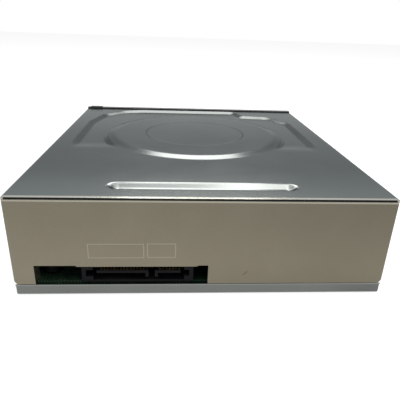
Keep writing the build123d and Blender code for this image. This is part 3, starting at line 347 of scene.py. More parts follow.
class Effects:
    """Node groups that several materials share."""

    def __init__(self) -> None:
        """Build each group once."""
        self.grains = {
            Grain.ROLLED: self._grain("rolled sheet grain", (1.0, 1.0, 1.0), 4.0, 0.65),
            Grain.MOULDED: self._grain("moulded grain", (1.0, 1.0, 1.0), 2.0, 0.5),
            Grain.CAST: self._grain("cast grain", (1.0, 1.0, 1.0), 6.0, 0.7),
            Grain.TURNED: self._grain("turned grain", (1.0, 1.0, 6.0), 3.0, 0.5),
            Grain.GLASS: self._grain("polished grain", (1.0, 1.0, 1.0), 1.0, 0.3),
        }
        self.wear = self._edge_wear()
        self.dust = self._dust()
        self.handling = self._handling()

    @staticmethod
    def _open(name: str, inputs: list[tuple[str, float]],
              outputs: list[tuple[str, str]]) -> tuple[Wiring, dict, bpy.types.Node]:
        """Start a node group.

        Args:
            name: The group's name.
            inputs: Name and default of each number that goes in.
            outputs: Name and socket type of each result.

        Returns:
            The wiring, the inputs by name, and the output node.
        """
        tree = bpy.data.node_groups.new(name, "ShaderNodeTree")
        for label, default in inputs:
            socket = tree.interface.new_socket(label, in_out="INPUT", socket_type="NodeSocketFloat")
            socket.default_value = default
        for label, kind in outputs:
            tree.interface.new_socket(label, in_out="OUTPUT", socket_type=kind)
        wiring = Wiring(tree)
        entry = wiring.add("NodeGroupInput")
        sockets = {label: entry.outputs[label] for label, _ in inputs}
        return wiring, sockets, wiring.add("NodeGroupOutput")

    def _grain(self, name: str, stretch: Point, detail: float,
               roughness: float) -> bpy.types.NodeTree:
        """Build a fine pattern.

        Args:
            name: The group's name.
            stretch: Scale of the pattern on each axis.
            detail: Octaves of the noise.
            roughness: Share of the fine octaves.

        Returns:
            A group with the outputs Shade and Height.
        """
        wiring, entry, end = self._open(
            name, [("Scale", 900.0)],
            [("Shade", "NodeSocketFloat"), ("Height", "NodeSocketFloat")])
        spot = wiring.stretch(wiring.spot(), stretch)
        fine = wiring.noise(spot, entry["Scale"], detail, roughness)
        broad = wiring.noise(spot, wiring.times(entry["Scale"], 0.045), 3.0, 0.55)
        shade = wiring.maths("ADD", wiring.times(fine, 0.55), wiring.times(broad, 0.45))
        wiring.feed(end.inputs["Shade"], wiring.ramp(shade, 0.3, 0.7))
        wiring.feed(end.inputs["Height"], fine)
        return wiring.tree

    def _edge_wear(self) -> bpy.types.NodeTree:
        """Build the mask of worn edges and the softened normal.

        Returns:
            A group with the outputs Mask and Normal.
        """
        wiring, entry, end = self._open(
            "edge wear", [("Radius", 0.0002), ("Amount", 0.5), ("Scale", 400.0)],
            [("Mask", "NodeSocketFloat"), ("Normal", "NodeSocketVector")])
        soft = wiring.add("ShaderNodeBevel", samples=4)
        wiring.feed(soft.inputs["Radius"], entry["Radius"])
        turn = wiring.add("ShaderNodeVectorMath", operation="DOT_PRODUCT")
        wiring.feed(turn.inputs[0], soft.outputs["Normal"])
        wiring.feed(turn.inputs[1], wiring.normal())
        bent = wiring.ramp(turn.outputs["Value"], 0.98, 0.72)
        patchy = wiring.ramp(wiring.noise(wiring.spot(), entry["Scale"], 3.0, 0.6), 0.35, 0.62)
        wiring.feed(end.inputs["Mask"], wiring.times(bent, patchy, entry["Amount"], clamp=True))
        wiring.feed(end.inputs["Normal"], soft.outputs["Normal"])
        return wiring.tree

    def _dust(self) -> bpy.types.NodeTree:
        """Build the mask of dust that settles on faces that look up.

        Returns:
            A group with the output Mask.
        """
        wiring, entry, end = self._open(
            "settled dust", [("Amount", 0.2), ("Scale", 160.0)], [("Mask", "NodeSocketFloat")])
        upward = wiring.ramp(wiring.axes(wiring.normal())[2], 0.35, 0.95)
        spot = wiring.spot()
        drift = wiring.ramp(wiring.noise(spot, entry["Scale"], 5.0, 0.62), 0.42, 0.78)
        specks = wiring.ramp(wiring.noise(spot, wiring.times(entry["Scale"], 18.0)), 0.66, 0.74)
        settled = wiring.maths("ADD", wiring.times(drift, 0.7), wiring.times(specks, 0.5))
        wiring.feed(end.inputs["Mask"],
                    wiring.times(upward, settled, entry["Amount"], clamp=True))
        return wiring.tree

    def _handling(self) -> bpy.types.NodeTree:
        """Build the mask of faint smears from handling.

        Returns:
            A group with the output Mask.
        """
        wiring, entry, end = self._open(
            "handling smears", [("Scale", 28.0)], [("Mask", "NodeSocketFloat")])
        spot = wiring.stretch(wiring.spot(), (1.0, 1.7, 1.4))
        broad = wiring.ramp(wiring.noise(spot, entry["Scale"], 2.0, 0.5), 0.38, 0.68)
        streaks = wiring.noise(wiring.stretch(spot, (1.0, 9.0, 9.0)),
                               wiring.times(entry["Scale"], 3.0))
        wiring.feed(end.inputs["Mask"], wiring.maths(
            "ADD", wiring.times(broad, 0.65), wiring.times(wiring.ramp(streaks, 0.4, 0.75), 0.35)))
        return wiring.tree


class Paint:
    """What one finish shows beyond its plain colour and grain."""

    def tone(self, wiring: Wiring, colour: Socket) -> Socket:
        """Return the colour as it is."""
        return colour

    def relief(self, wiring: Wiring, normal: Socket) -> Socket:
        """Return the normal as it is."""
        return normal


class FinishShop:
    """Makes the material of each slot from its finish."""

    grain_scale: float = 1400.0
    grain_depth: float = 0.00004
    grain_rough: float = 0.05
    rough_drop: float = 0.03
    smear_scale: float = 26.0
    dust_colour: Colour = (150, 146, 138)

    def __init__(self, finishes: list[Finish], paints: dict[str, Paint]) -> None:
        """Build the effects and a material for each finish.

        Args:
            finishes: One finish for each material slot of the record.
            paints: What some slots show beyond their finish.
        """
        self.effects = Effects()
        self.materials: dict[str, bpy.types.Material] = {}
        for finish in finishes:
            self.materials[finish.slot] = self.make(finish, paints.get(finish.slot, Paint()))

    def make(self, finish: Finish, paint: Paint) -> bpy.types.Material:
        """Build one material.

        Args:
            finish: What it looks like.
            paint: What it shows beyond that.

        Returns:
            The new material.
        """
        material = bpy.data.materials.new(finish.slot)
        material.use_nodes = True
        material.node_tree.nodes.clear()
        wiring = Wiring(material.node_tree)
        shader = wiring.add("ShaderNodeBsdfPrincipled")
        wiring.feed(wiring.add("ShaderNodeOutputMaterial").inputs["Surface"], shader.outputs[0])
        grain = wiring.group(self.effects.grains[finish.grain],
                             Scale=self.grain_scale / finish.grain_size)
        wear = wiring.group(self.effects.wear, Radius=finish.edge_radius * MM, Amount=finish.wear)
        dust = wiring.group(self.effects.dust, Amount=finish.dust)
        smear = wiring.group(self.effects.handling, Scale=self.smear_scale)
        colour = wiring.mix(grain.outputs["Shade"], finish.shade, finish.colour)
        colour = paint.tone(wiring, colour)
        colour = wiring.mix(wear.outputs["Mask"], colour, finish.wear_colour)
        colour = wiring.mix(dust.outputs["Mask"], colour, self.dust_colour)
        rough = wiring.maths("ADD", finish.roughness - self.rough_drop,
                             wiring.times(smear.outputs["Mask"], finish.smear))
        rough = wiring.maths("ADD", rough,
                             wiring.times(grain.outputs["Shade"], self.grain_rough), clamp=True)
        normal = wiring.bump(grain.outputs["Height"], finish.bump, self.grain_depth,
                             wear.outputs["Normal"])
        wiring.feed(shader.inputs["Base Color"], colour)
        wiring.feed(shader.inputs["Roughness"], rough)
        wiring.feed(shader.inputs["Normal"], paint.relief(wiring, normal))
        shader.inputs["Metallic"].default_value = finish.metallic
        shader.inputs["Specular Tint"].default_value = linear(finish.tint)
        shader.inputs["Coat Weight"].default_value = finish.coat
        shader.inputs["Transmission Weight"].default_value = finish.transmission
        shader.inputs["IOR"].default_value = finish.ior
        shader.inputs["Specular IOR Level"].default_value = finish.specular
        return material

    def dress_nodes(self) -> None:
        """Give every CAD node the material of its slot."""
        for part in frame["record"]["subparts"]:
            node = frame["nodes"][part["node"]]
            node.data.materials.clear()
            node.data.materials.append(self.materials[part["material_slot"]])


def to_object(form: bmesh.types.BMesh, name: str, material: bpy.types.Material,
              smooth: bool = True) -> bpy.types.Object:
    """Turn a bmesh in millimetres into an object in metres.

    Args:
        form: The mesh, which is freed.
        name: The object's name.
        material: Its material.
        smooth: Whether its faces are shaded as one smooth surface.

    Returns:
        The new object, at the origin.
    """
    bmesh.ops.scale(form, vec=(MM, MM, MM), verts=form.verts)
    mesh = bpy.data.meshes.new(name)
    form.to_mesh(mesh)
    form.free()
    mesh.materials.append(material)
    for face in mesh.polygons:
        face.use_smooth = smooth
    piece = bpy.data.objects.new(name, mesh)
    bpy.context.scene.collection.objects.link(piece)
    return piece


def round_edges(form: bmesh.types.BMesh, edges: list[bmesh.types.BMEdge], radius: float,
                segments: int) -> None:
    """Round edges of a mesh.

    Args:
        form: The mesh.
        edges: The edges to round.
        radius: Radius of the rounding.
        segments: Number of faces across it.
    """
    bmesh.ops.bevel(form, geom=edges, offset=radius, offset_type="OFFSET", segments=segments,
                    profile=0.5, affect="EDGES", material=-1, clamp_overlap=True)


def add_block(form: bmesh.types.BMesh, low: Point, high: Point) -> list[bmesh.types.BMVert]:
    """Add a block to a mesh.

    Args:
        form: The mesh.
        low: Lowest corner.
        high: Highest corner.

    Returns:
        The block's corners.
    """
    verts = bmesh.ops.create_cube(form, size=1.0)["verts"]
    bmesh.ops.scale(form, vec=[b - a for a, b in zip(low, high)], verts=verts)
    bmesh.ops.translate(form, verts=verts, vec=[(a + b) / 2 for a, b in zip(low, high)])
    return verts


def place_piece(form: bmesh.types.BMesh, name: str, shop: FinishShop, slot: str,
                body: str = "root", smooth: bool = False) -> bpy.types.Object:
    """Finish a new piece and let it ride on its body.

    Args:
        form: Its mesh in millimetres, which is freed.
        name: Its name.
        shop: Where its material comes from.
        slot: Its material slot.
        body: The body that carries it.
        smooth: Whether its faces are shaded as one smooth surface.

    Returns:
        The finished piece.
    """
    piece = to_object(form, name, shop.materials[slot], smooth)
    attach(piece, body)
    LOG.info("%s: %d faces", name, len(piece.data.polygons))
    return piece


def ramp_up(value: np.ndarray, ends: float = 0.2) -> np.ndarray:
    """Rise from 0 to 1 in a straight line with rounded ends, as stamped sheet bends.

    Args:
        value: Share of the way across the bend.
        ends: Share of the way that each rounded end takes.

    Returns:
        Share of the height.
    """
    held = np.clip(value, 0.0, 1.0)
    slope = 1 / (1 - ends)
    start = slope * held ** 2 / (2 * ends)
    finish = 1 - slope * (1 - held) ** 2 / (2 * ends)
    middle = slope * (held - ends / 2)
    return np.where(held < ends, start, np.where(held > 1 - ends, finish, middle))


def graded_lines(bands: list[Span]) -> np.ndarray:
    """Space grid lines finely in some bands and widely in others.

    Args:
        bands: Place of each band's end, and the spacing up to it; the first spacing is unused.

    Returns:
        The places of all lines.
    """
    lines = [bands[0][0]]
    for place, spacing in bands[1:]:
        start = lines[-1]
        count = max(1, round((place - start) / spacing))
        lines += [start + (place - start) * step / count for step in range(1, count + 1)]
    return np.array(lines)


@dataclass
class TopCover(Paint):
    """The stamped top cover, with its raised round plateau, sunk field and rear trench."""

    half_width: float = 73.0
    front: float = -79.8
    rear: float = 85.0
    level: float = 41.3
    sheet: float = 0.6
    lip: float = 0.35
    rim_radius: float = 0.2
    roll_depth: float = 0.12
    roll_reach: float = 2.1
    roll_share: float = 0.8
    corner_radius: float = 0.9
    middle: Span = (0.0, -10.6)
    plateau_rise: float = 0.9
    plateau_top: float = 43.6
    plateau_base: float = 49.0
    plateau_foot: float = 50.5
    hub_radius: float = 27.5
    hub_depth: float = 0.15
    hub_slope: float = 1.4
    field_depth: float = 1.2
    field_slope: float = 4.8
    field_end: float = 23.0
    field_fade: float = 18.0
    fade_ends: float = 0.4
    # Corners of the sunk field: X, Y and radius.
    field_outline: list[Point] = field(default_factory=lambda: [
        (62.8, 26.0, 4.0), (62.8, -38.0, 14.0), (57.5, -60.5, 9.0), (45.5, -72.5, 12.0),
        (34.0, -75.6, 12.0), (-30.5, -75.8, 4.0), (-34.0, -62.2, 4.0), (-52.0, -60.6, 7.0),
        (-61.9, -42.0, 12.0), (-61.9, 20.0, 4.0), (-56.0, 26.0, 4.0)])
    corner_steps: int = 5
    trench_middle: float = 72.0
    trench_half: float = 33.65
    trench_wide: float = 3.85
    trench_narrow: float = 0.6
    trench_depth: float = 1.5
    trench_ends: float = 0.1
    dimples: list[Span] = field(default_factory=lambda: [(45.8, 30.3), (-45.8, 30.3)])
    dimple_radius: float = 1.9
    dimple_depth: float = 0.12
    # Ends of the grid's bands, and the spacing within each.
    bands_across: list[Span] = field(default_factory=lambda: [
        (-73, 0), (-70.4, 2.6), (-66, 1.6), (-56, FINE), (-44, 0.9), (44, 1.0), (52, 0.9),
        (66, FINE), (70.4, 1.6), (73, 2.6)])
    bands_along: list[Span] = field(default_factory=lambda: [
        (-79.8, 0), (-72, 0.55), (-68, 0.9), (-58, FINE), (-50, 0.9), (28, 1.0), (38, FINE),
        (66, 2.2), (76.5, FINE), (82.3, 2.2), (85, 0.5)])
    # Painted shade on bends that tilt sideways across the sheet.
    bend_tilt: float = 0.27
    painted_bend_shade: Mark = Mark((50, 52, 53), 0.5)
    # Painted shade on the two sides of the hub's step.
    hub_shade_width: Span = (0.55, 0.2)
    painted_hub_shade: Mark = Mark((40, 42, 43), 0.85)
    # Painted light: the near end is lighter, and so is the level sheet at the far end.
    pale_near: Span = (45.0, 88.0)
    pale_far: Span = (12.0, -80.0)
    pale_far_share: float = 0.9
    painted_end_light: Mark = Mark((121, 126, 126))
    # Painted highlight on the line before the rear rim.
    brow: Span = (82.6, 83.0)
    brow_reach: float = 45.0
    brow_least: float = 0.45
    painted_brow_highlight: Mark = Mark((188, 187, 180))
    # Painted highlight along the two side edges.
    side_edge: Span = (72.5, 72.7)
    painted_side_highlight: Mark = Mark((176, 180, 178), 0.6)
    # Painted shade on the trench's tips, on walls that face the front, and on walls near the front
    # that face the rear.
    tip_start: Span = (-0.4, 1.2)
    tip_round: Span = (3.8, 3.0)
    tip_share: float = 0.6
    front_wall_share: float = 0.2
    back_wall_share: float = 0.5
    back_walls: Span = (-50.0, -60.0)
    painted_wall_shade: Mark = Mark((46, 48, 49))
    # Painted shade along the rear rim, short of its corners.
    rim_start: Span = (84.2, 84.4)
    rim_side: Span = (72.2, 71.6)
    painted_rim_shade: Mark = Mark((34, 34, 32))

    def tone(self, wiring: Wiring, colour: Socket) -> Socket:
        """Paint shade on the bends, light on the sheet's ends, and highlight and shade lines on its
        edges, hub and walls.

        Args:
            wiring: The material's nodes.
            colour: The sheet's colour.

        Returns:
            The finished colour.
        """
        x, y, _ = wiring.axes(wiring.spot())
        across = wiring.unsigned(x)
        facing = wiring.axes(wiring.normal())
        # Painted shade on bends that tilt sideways.
        tilt = wiring.maths("DIVIDE", wiring.unsigned(facing[0]), self.bend_tilt)
        bends = wiring.times(wiring.ramp(tilt, 0.35, 1.0), wiring.ramp(facing[2], 0.5, 0.8))
        # Painted shade along the rear rim.
        rim = wiring.times(wiring.band(y, self.rim_start), wiring.band(across, self.rim_side))
        return wiring.lay(
            colour, (bends, self.painted_bend_shade), (self.hub_step_shade(wiring, across, y), self.painted_hub_shade),
            (self.end_light_mask(wiring, y, facing), self.painted_end_light),
            (self.brow_highlight(wiring, across, y), self.painted_brow_highlight),
            (wiring.band(across, self.side_edge), self.painted_side_highlight),
            (self.wall_shade(wiring, across, y, facing), self.painted_wall_shade), (rim, self.painted_rim_shade))

    def hub_step_shade(self, wiring: Wiring, across: Socket, y: Socket) -> Socket:
        """Mask the painted shade on the two sides of the hub's step.

        Args:
            wiring: The material's nodes.
            across: Distance from the middle line.
            y: Place along the sheet.

        Returns:
            The mask.
        """
        radius = self.hub_radius * MM
        away = wiring.diagonal(across, wiring.less(y, self.middle[1] * MM))
        line = wiring.band(wiring.unsigned(wiring.less(away, radius)), self.hub_shade_width)
        return wiring.times(line, wiring.ramp(wiring.maths("DIVIDE", across, radius), 0.72, 0.95))

    def end_light_mask(self, wiring: Wiring, y: Socket, facing: tuple[Socket, ...]) -> Socket:
        """Mask the painted light on the near end, and on the level sheet at the far end.

        Args:
            wiring: The material's nodes.
            y: Place along the sheet.
            facing: The normal's axes.

        Returns:
            The mask.
        """
        far = wiring.times(wiring.band(y, self.pale_far), wiring.ramp(facing[2], 0.97, 0.995),
                           self.pale_far_share)
        return wiring.maths("MAXIMUM", wiring.band(y, self.pale_near), far)

    def brow_highlight(self, wiring: Wiring, across: Socket, y: Socket) -> Socket:
        """Mask the painted highlight line before the rear rim, which is strongest towards its ends.
        """
        share = wiring.ramp(across, 0.0, self.brow_reach * MM, self.brow_least)
        return wiring.times(wiring.band(y, self.brow), share)

    def wall_shade(self, wiring: Wiring, across: Socket, y: Socket,
                   facing: tuple[Socket, ...]) -> Socket:
        """Mask the painted shade on the trench's tips and on the walls that the light passes over.

        Args:
            wiring: The material's nodes.
            across: Distance from the middle line.
            y: Place along the sheet.
            facing: The normal's axes.

        Returns:
            The mask.
        """
        past = wiring.less(across, self.trench_half * MM)
        spread = wiring.diagonal(past, wiring.less(y, self.trench_middle * MM))
        tip = wiring.times(wiring.band(past, self.tip_start), wiring.band(spread, self.tip_round),
                           self.tip_share)
        front = wiring.times(wiring.ramp(facing[1], -0.01, -0.09), self.front_wall_share)
        back = wiring.times(wiring.ramp(facing[1], 0.05, 0.2), wiring.band(y, self.back_walls),
                            self.back_wall_share)
        return wiring.maths("MAXIMUM", tip, wiring.maths("MAXIMUM", front, back))

    def rounded_field(self) -> np.ndarray:
        """Round the corners of the sunk field's outline.

        Returns:
            Points along the closed outline.
        """
        corners = [np.array(point[:2]) for point in self.field_outline]
        points = []
        for index, corner in enumerate(corners):
            radius = self.field_outline[index][2]
            back = corners[index - 1] - corner
            ahead = corners[(index + 1) % len(corners)] - corner
            back /= np.linalg.norm(back)
            ahead /= np.linalg.norm(ahead)
            opening = math.acos(float(np.clip(back @ ahead, -1, 1)))
            reach = radius / math.tan(opening / 2)
            bisector = (back + ahead) / np.linalg.norm(back + ahead)
            hub = corner + bisector * radius / math.sin(opening / 2)
            start = corner + back * reach - hub
            end = corner + ahead * reach - hub
            for step in range(self.corner_steps + 1):
                share = step / self.corner_steps
                spoke = start * (1 - share) + end * share
                points.append(hub + spoke / np.linalg.norm(spoke) * radius)
        return np.array(points)

    def field_distance(self, x: np.ndarray, y: np.ndarray) -> np.ndarray:
        """Measure how far inside the sunk field points are.

        Args:
            x: Places across.
            y: Places along.

        Returns:
            Distance to the outline, positive inside.
        """
        outline = self.rounded_field()
        nearest = np.full(x.shape, 1e9)
        inside = np.zeros(x.shape, dtype=bool)
        for first, last in zip(outline, np.roll(outline, -1, axis=0)):
            run = last - first
            share = np.clip(((x - first[0]) * run[0] + (y - first[1]) * run[1])
                            / max(run @ run, 1e-9), 0, 1)
            away = np.hypot(x - first[0] - share * run[0], y - first[1] - share * run[1])
            nearest = np.minimum(nearest, away)
            if first[1] != last[1]:
                crosses = (first[1] > y) != (last[1] > y)
                inside ^= crosses & (x < run[0] * (y - first[1]) / run[1] + first[0])
        return np.where(inside, nearest, -nearest)

    def height(self, x: np.ndarray, y: np.ndarray) -> np.ndarray:
        """Work out the stamped surface.

        Args:
            x: Places across.
            y: Places along.

        Returns:
            Height over the flat sheet at each place.
        """
        inward = self.field_distance(x, y)
        sunk = -self.field_depth * ramp_up(inward / self.field_slope + 0.5)
        sunk = sunk * ramp_up((self.field_end - y) / self.field_fade, self.fade_ends)
        radius = np.hypot(x - self.middle[0], y - self.middle[1])
        skirt = ramp_up((self.plateau_foot - radius) / (self.plateau_foot - self.plateau_base))
        ground = sunk * (1 - skirt)
        crown = self.plateau_rise * ramp_up(
            (self.plateau_base - radius) / (self.plateau_base - self.plateau_top))
        hub = -self.hub_depth * ramp_up((self.hub_radius - radius) / self.hub_slope)
        away = np.hypot(np.maximum(np.abs(x) - self.trench_half, 0), y - self.trench_middle)
        trench = -self.trench_depth * ramp_up(
            (self.trench_wide - away) / (self.trench_wide - self.trench_narrow), self.trench_ends)
        dents = sum(ramp_up(1 - np.hypot(x - spot[0], y - spot[1]) / self.dimple_radius)
                    for spot in self.dimples) * -self.dimple_depth
        past = np.clip(y - self.rear + self.roll_reach, 0, self.roll_reach)
        roll = -self.roll_depth * ramp_up(self.roll_share * past / self.roll_reach)
        return ground + crown + hub + trench + dents + roll

    def build(self, shop: FinishShop) -> bpy.types.Object:
        """Build the cover as one sheet of its real thickness.

        Args:
            shop: Where its material comes from.

        Returns:
            The finished cover.
        """
        across, along = graded_lines(self.bands_across), graded_lines(self.bands_along)
        form = bmesh.new()
        bmesh.ops.create_grid(form, x_segments=len(across) - 1, y_segments=len(along) - 1,
                              size=1.0)
        columns = np.array([round((vert.co.x + 1) / 2 * (len(across) - 1)) for vert in form.verts])
        rows = np.array([round((vert.co.y + 1) / 2 * (len(along) - 1)) for vert in form.verts])
        x, y = across[columns], along[rows]
        z = self.level + self.height(x, y)
        for vert, place in zip(form.verts, zip(x, y, z)):
            vert.co = place
        self.fold_lip(form)
        cover = to_object(form, "stamped_cover", shop.materials["cover_steel"])
        wall = cover.modifiers.new("sheet", "SOLIDIFY")
        wall.thickness = self.sheet * MM
        wall.offset = -1.0
        wall.use_even_offset = False
        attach(cover, "root")
        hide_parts("top_cover")
        LOG.info("stamped_cover: %d faces", len(cover.data.polygons))
        return cover

    def fold_lip(self, form: bmesh.types.BMesh) -> None:
        """Fold the lip down along both sides and the rear, with rounded corners.

        Args:
            form: The flat stamped sheet.
        """
        def outer(edge: bmesh.types.BMEdge) -> bool:
            """Tell whether an edge bounds the sheet other than at the front."""
            middle = (edge.verts[0].co + edge.verts[1].co) / 2
            return edge.is_boundary and middle.y > self.front + SLACK

        def upright(edge: bmesh.types.BMEdge) -> bool:
            """Tell whether an edge is one of the two rear corners."""
            first, last = edge.verts[0].co, edge.verts[1].co
            return (abs(first.z - last.z) > self.lip / 2 and abs(first.x - last.x) < SLACK
                    and abs(abs(first.x) - self.half_width) < SLACK
                    and abs(first.y - self.rear) < SLACK)

        def brow(edge: bmesh.types.BMEdge) -> bool:
            """Tell whether an edge is the bend between the top and the lip."""
            faces = edge.link_faces
            return len(faces) == 2 and abs(faces[0].normal.z - faces[1].normal.z) > 0.8

        rim = [edge for edge in form.edges if outer(edge)]
        folded = bmesh.ops.extrude_edge_only(form, edges=rim)["geom"]
        dropped = [item for item in folded if isinstance(item, bmesh.types.BMVert)]
        bmesh.ops.translate(form, verts=dropped, vec=(0, 0, -self.lip))
        round_edges(form, [edge for edge in form.edges if upright(edge)], self.corner_radius, 7)
        form.normal_update()
        round_edges(form, [edge for edge in form.edges if brow(edge)], self.rim_radius, 6)
        bmesh.ops.remove_doubles(form, verts=form.verts, dist=0.0005)
        bmesh.ops.recalc_face_normals(form, faces=form.faces)


@dataclass(frozen=True)
class RearPanel(Paint):
    """What the rear panel shows: painted shade, a painted highlight on its top edge, two plain
    frames with painted highlights, a scratch and painted light on a tab.
    """

    face: Span = (83.8, 84.2)
    skin: Span = (84.0, 84.5)
    up: Span = (8.0, 41.0)
    up_share: float = 0.22
    aside: Span = (30.0, -73.0)
    aside_share: float = 0.18
    shade_mark: Mark = Mark((60, 56, 46))
    # Painted highlight along the panel's top edge.
    edge: Span = (39.8, 40.0)
    painted_edge_highlight: Mark = Mark((158, 155, 141))
    # The frames' left, right, bottom and top.
    frames: tuple[tuple[float, float, float, float], ...] = (
        (43.9, 23.05, 16.8, 22.7), (21.6, 11.0, 17.0, 22.85))
    frame_line: Span = (0.3, 0.0)
    frame_depth: float = 0.12
    frame_strength: float = 0.4
    # Painted highlight on the stamped frame lines.
    painted_frame_highlight: Mark = Mark((156, 153, 139), 0.7)
    scratch: Span = (-16.5, 9.8)
    scratch_lean: float = 40.0
    scratch_length: Span = (1.4, 0.9)
    scratch_width: Span = (0.3, 0.1)
    scratch_mark: Mark = Mark((92, 82, 58), 0.8)
    # Painted light on a tab behind the panel's face.
    tab_left: Span = (63.0, 63.5)
    tab_right: Span = (68.0, 67.5)
    tab_top: Span = (13.7, 13.3)
    tab_face: Span = (84.5, 84.3)
    painted_tab_light: Mark = Mark((235, 228, 200))

    def tone(self, wiring: Wiring, colour: Socket) -> Socket:
        """Paint shade and highlights on the panel, paint light on the tab, and draw its scratch.

        Args:
            wiring: The material's nodes.
            colour: The sheet's colour.

        Returns:
            The finished colour.
        """
        x, y, z = wiring.axes(wiring.spot())
        rear = wiring.band(y, self.face)
        share = wiring.maths("ADD", wiring.times(wiring.band(z, self.up), self.up_share),
                             wiring.times(wiring.band(x, self.aside), self.aside_share))
        tab = wiring.times(wiring.band(y, self.tab_face), wiring.band(z, self.tab_top),
                           wiring.band(x, self.tab_left), wiring.band(x, self.tab_right))
        return wiring.lay(
            colour, (wiring.times(share, rear), self.shade_mark),
            (wiring.times(wiring.band(z, self.edge), rear), self.painted_edge_highlight),
            (self.frame_lines(wiring), self.painted_frame_highlight),
            (self.scratch_line(wiring), self.scratch_mark), (tab, self.painted_tab_light))

    def relief(self, wiring: Wiring, normal: Socket) -> Socket:
        """Stamp the two plain frames."""
        return wiring.bump(self.frame_lines(wiring), self.frame_strength, self.frame_depth * MM,
                           normal)

    def frame_lines(self, wiring: Wiring) -> Socket:
        """Mask the lines of the two plain frames.

        Args:
            wiring: The material's nodes.

        Returns:
            1 on the lines and 0 elsewhere.
        """
        x, y, z = wiring.axes(wiring.spot())
        total: object = 0.0
        for left, right, low, high in self.frames:
            across = wiring.unsigned(wiring.less(x, (left + right) / 2 * MM))
            upward = wiring.unsigned(wiring.less(z, (low + high) / 2 * MM))
            away = wiring.unsigned(wiring.maths(
                "MAXIMUM", wiring.less(across, (left - right) / 2 * MM),
                wiring.less(upward, (high - low) / 2 * MM)))
            total = wiring.maths("MAXIMUM", total, wiring.band(away, self.frame_line))
        return wiring.times(total, wiring.band(y, self.skin))

    def scratch_line(self, wiring: Wiring) -> Socket:
        """Mask a short slanting scratch.

        Args:
            wiring: The material's nodes.

        Returns:
            1 on the scratch and 0 elsewhere.
        """
        x, y, z = wiring.axes(wiring.spot())
        aside = wiring.less(x, self.scratch[0] * MM)
        upward = wiring.less(z, self.scratch[1] * MM)
        lean = math.radians(self.scratch_lean)
        along = wiring.less(wiring.times(upward, math.sin(lean)),
                            wiring.times(aside, math.cos(lean)))
        across = wiring.maths("ADD", wiring.times(upward, math.cos(lean)),
                              wiring.times(aside, math.sin(lean)))
        return wiring.times(wiring.band(wiring.unsigned(along), self.scratch_length),
                            wiring.band(wiring.unsigned(across), self.scratch_width),
                            wiring.band(y, self.skin))


@dataclass(frozen=True)
class RearFlange(Paint):
    """What the bottom cover's rear flange shows: painted highlights on two edges and painted shade
    on one end.
    """

    face: Span = (83.8, 84.2)
    foot: Span = (0.8, 0.5)
    head: Span = (4.1, 4.3)
    aside: Span = (-40.0, -73.0)
    # Painted highlights on both long edges, and painted shade towards the −X end.
    painted_edge_highlight: Mark = Mark((136, 139, 136))
    end_mark: Mark = Mark((60, 62, 62), 0.3)

    def tone(self, wiring: Wiring, colour: Socket) -> Socket:
        """Paint highlights on the flange's two long edges and paint shade on one end.

        Args:
            wiring: The material's nodes.
            colour: The sheet's colour.

        Returns:
            The finished colour.
        """
        x, y, z = wiring.axes(wiring.spot())
        rear = wiring.band(y, self.face)
        edges = wiring.maths("MAXIMUM", wiring.band(z, self.foot), wiring.band(z, self.head))
        return wiring.lay(
            colour, (wiring.times(wiring.band(x, self.aside), rear), self.end_mark),
            (wiring.times(edges, rear), self.painted_edge_highlight))


@dataclass(frozen=True)
class FlatCables(Paint):
    """What the flat cables show: their conductors."""

    pitch: float = 0.8
    wire_mark: Mark = Mark((132, 136, 140), 0.7)

    def tone(self, wiring: Wiring, colour: Socket) -> Socket:
        """Draw the conductors.

        Args:
            wiring: The material's nodes.
            colour: The film's colour.

        Returns:
            The colour with its lines.
        """
        x = wiring.axes(wiring.spot())[0]
        wave = wiring.maths("SINE", wiring.times(x, math.tau / (self.pitch * MM)))
        return wiring.lay(colour, (wiring.ramp(wave, 0.1, 0.5), self.wire_mark))


@dataclass
class ChipPins:
    """Bent legs that hold one chip to the board."""

    node: str
    pitch: float
    all_sides: bool
    width: float = 0.3
    reach: float = 1.1
    foot: float = 0.12
    shoulder: float = 0.6
    shoulder_end: float = 0.55
    foot_start: float = 0.4
    drop: float = 0.35
    corner_gap: float = 1.0

    def leg(self, form: bmesh.types.BMesh, edge: float, along: float, outward: int,
            across: bool, floor: float) -> None:
        """Add one leg, with its foot and its shoulder.

        Args:
            form: The mesh.
            edge: Place of the chip's side.
            along: Place along that side.
            outward: Which way the leg points, 1 or -1.
            across: Whether the side faces along X.
            floor: Height of the board's face.
        """
        reach = outward * self.reach
        spans = ((edge, edge + reach * self.shoulder_end, self.shoulder),
                 (edge + reach * self.foot_start, edge + reach, 0.0))
        for start, end, lift in spans:
            first, last = min(start, end), max(start, end)
            side = (along - self.width / 2, along + self.width / 2)
            low = (first, side[0]) if across else (side[0], first)
            high = (last, side[1]) if across else (side[1], last)
            add_block(form, (*low, floor + lift * self.drop), (*high, floor + lift + self.foot))

    def build(self, shop: FinishShop) -> None:
        """Set the legs around the chip.

        Args:
            shop: Where their material comes from.
        """
        low, high = (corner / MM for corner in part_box(self.node))
        form = bmesh.new()
        for across in ((True, False) if self.all_sides else (True,)):
            run = (low.y, high.y) if across else (low.x, high.x)
            count = int((run[1] - run[0] - self.corner_gap) / self.pitch)
            start = (run[0] + run[1] - count * self.pitch) / 2
            for index in range(count + 1):
                along = start + index * self.pitch
                sides = (low.x, high.x) if across else (low.y, high.y)
                self.leg(form, sides[0], along, -1, across, low.z)
                self.leg(form, sides[1], along, 1, across, low.z)
        place_piece(form, f"{self.node}_pins", shop, "screw_steel")


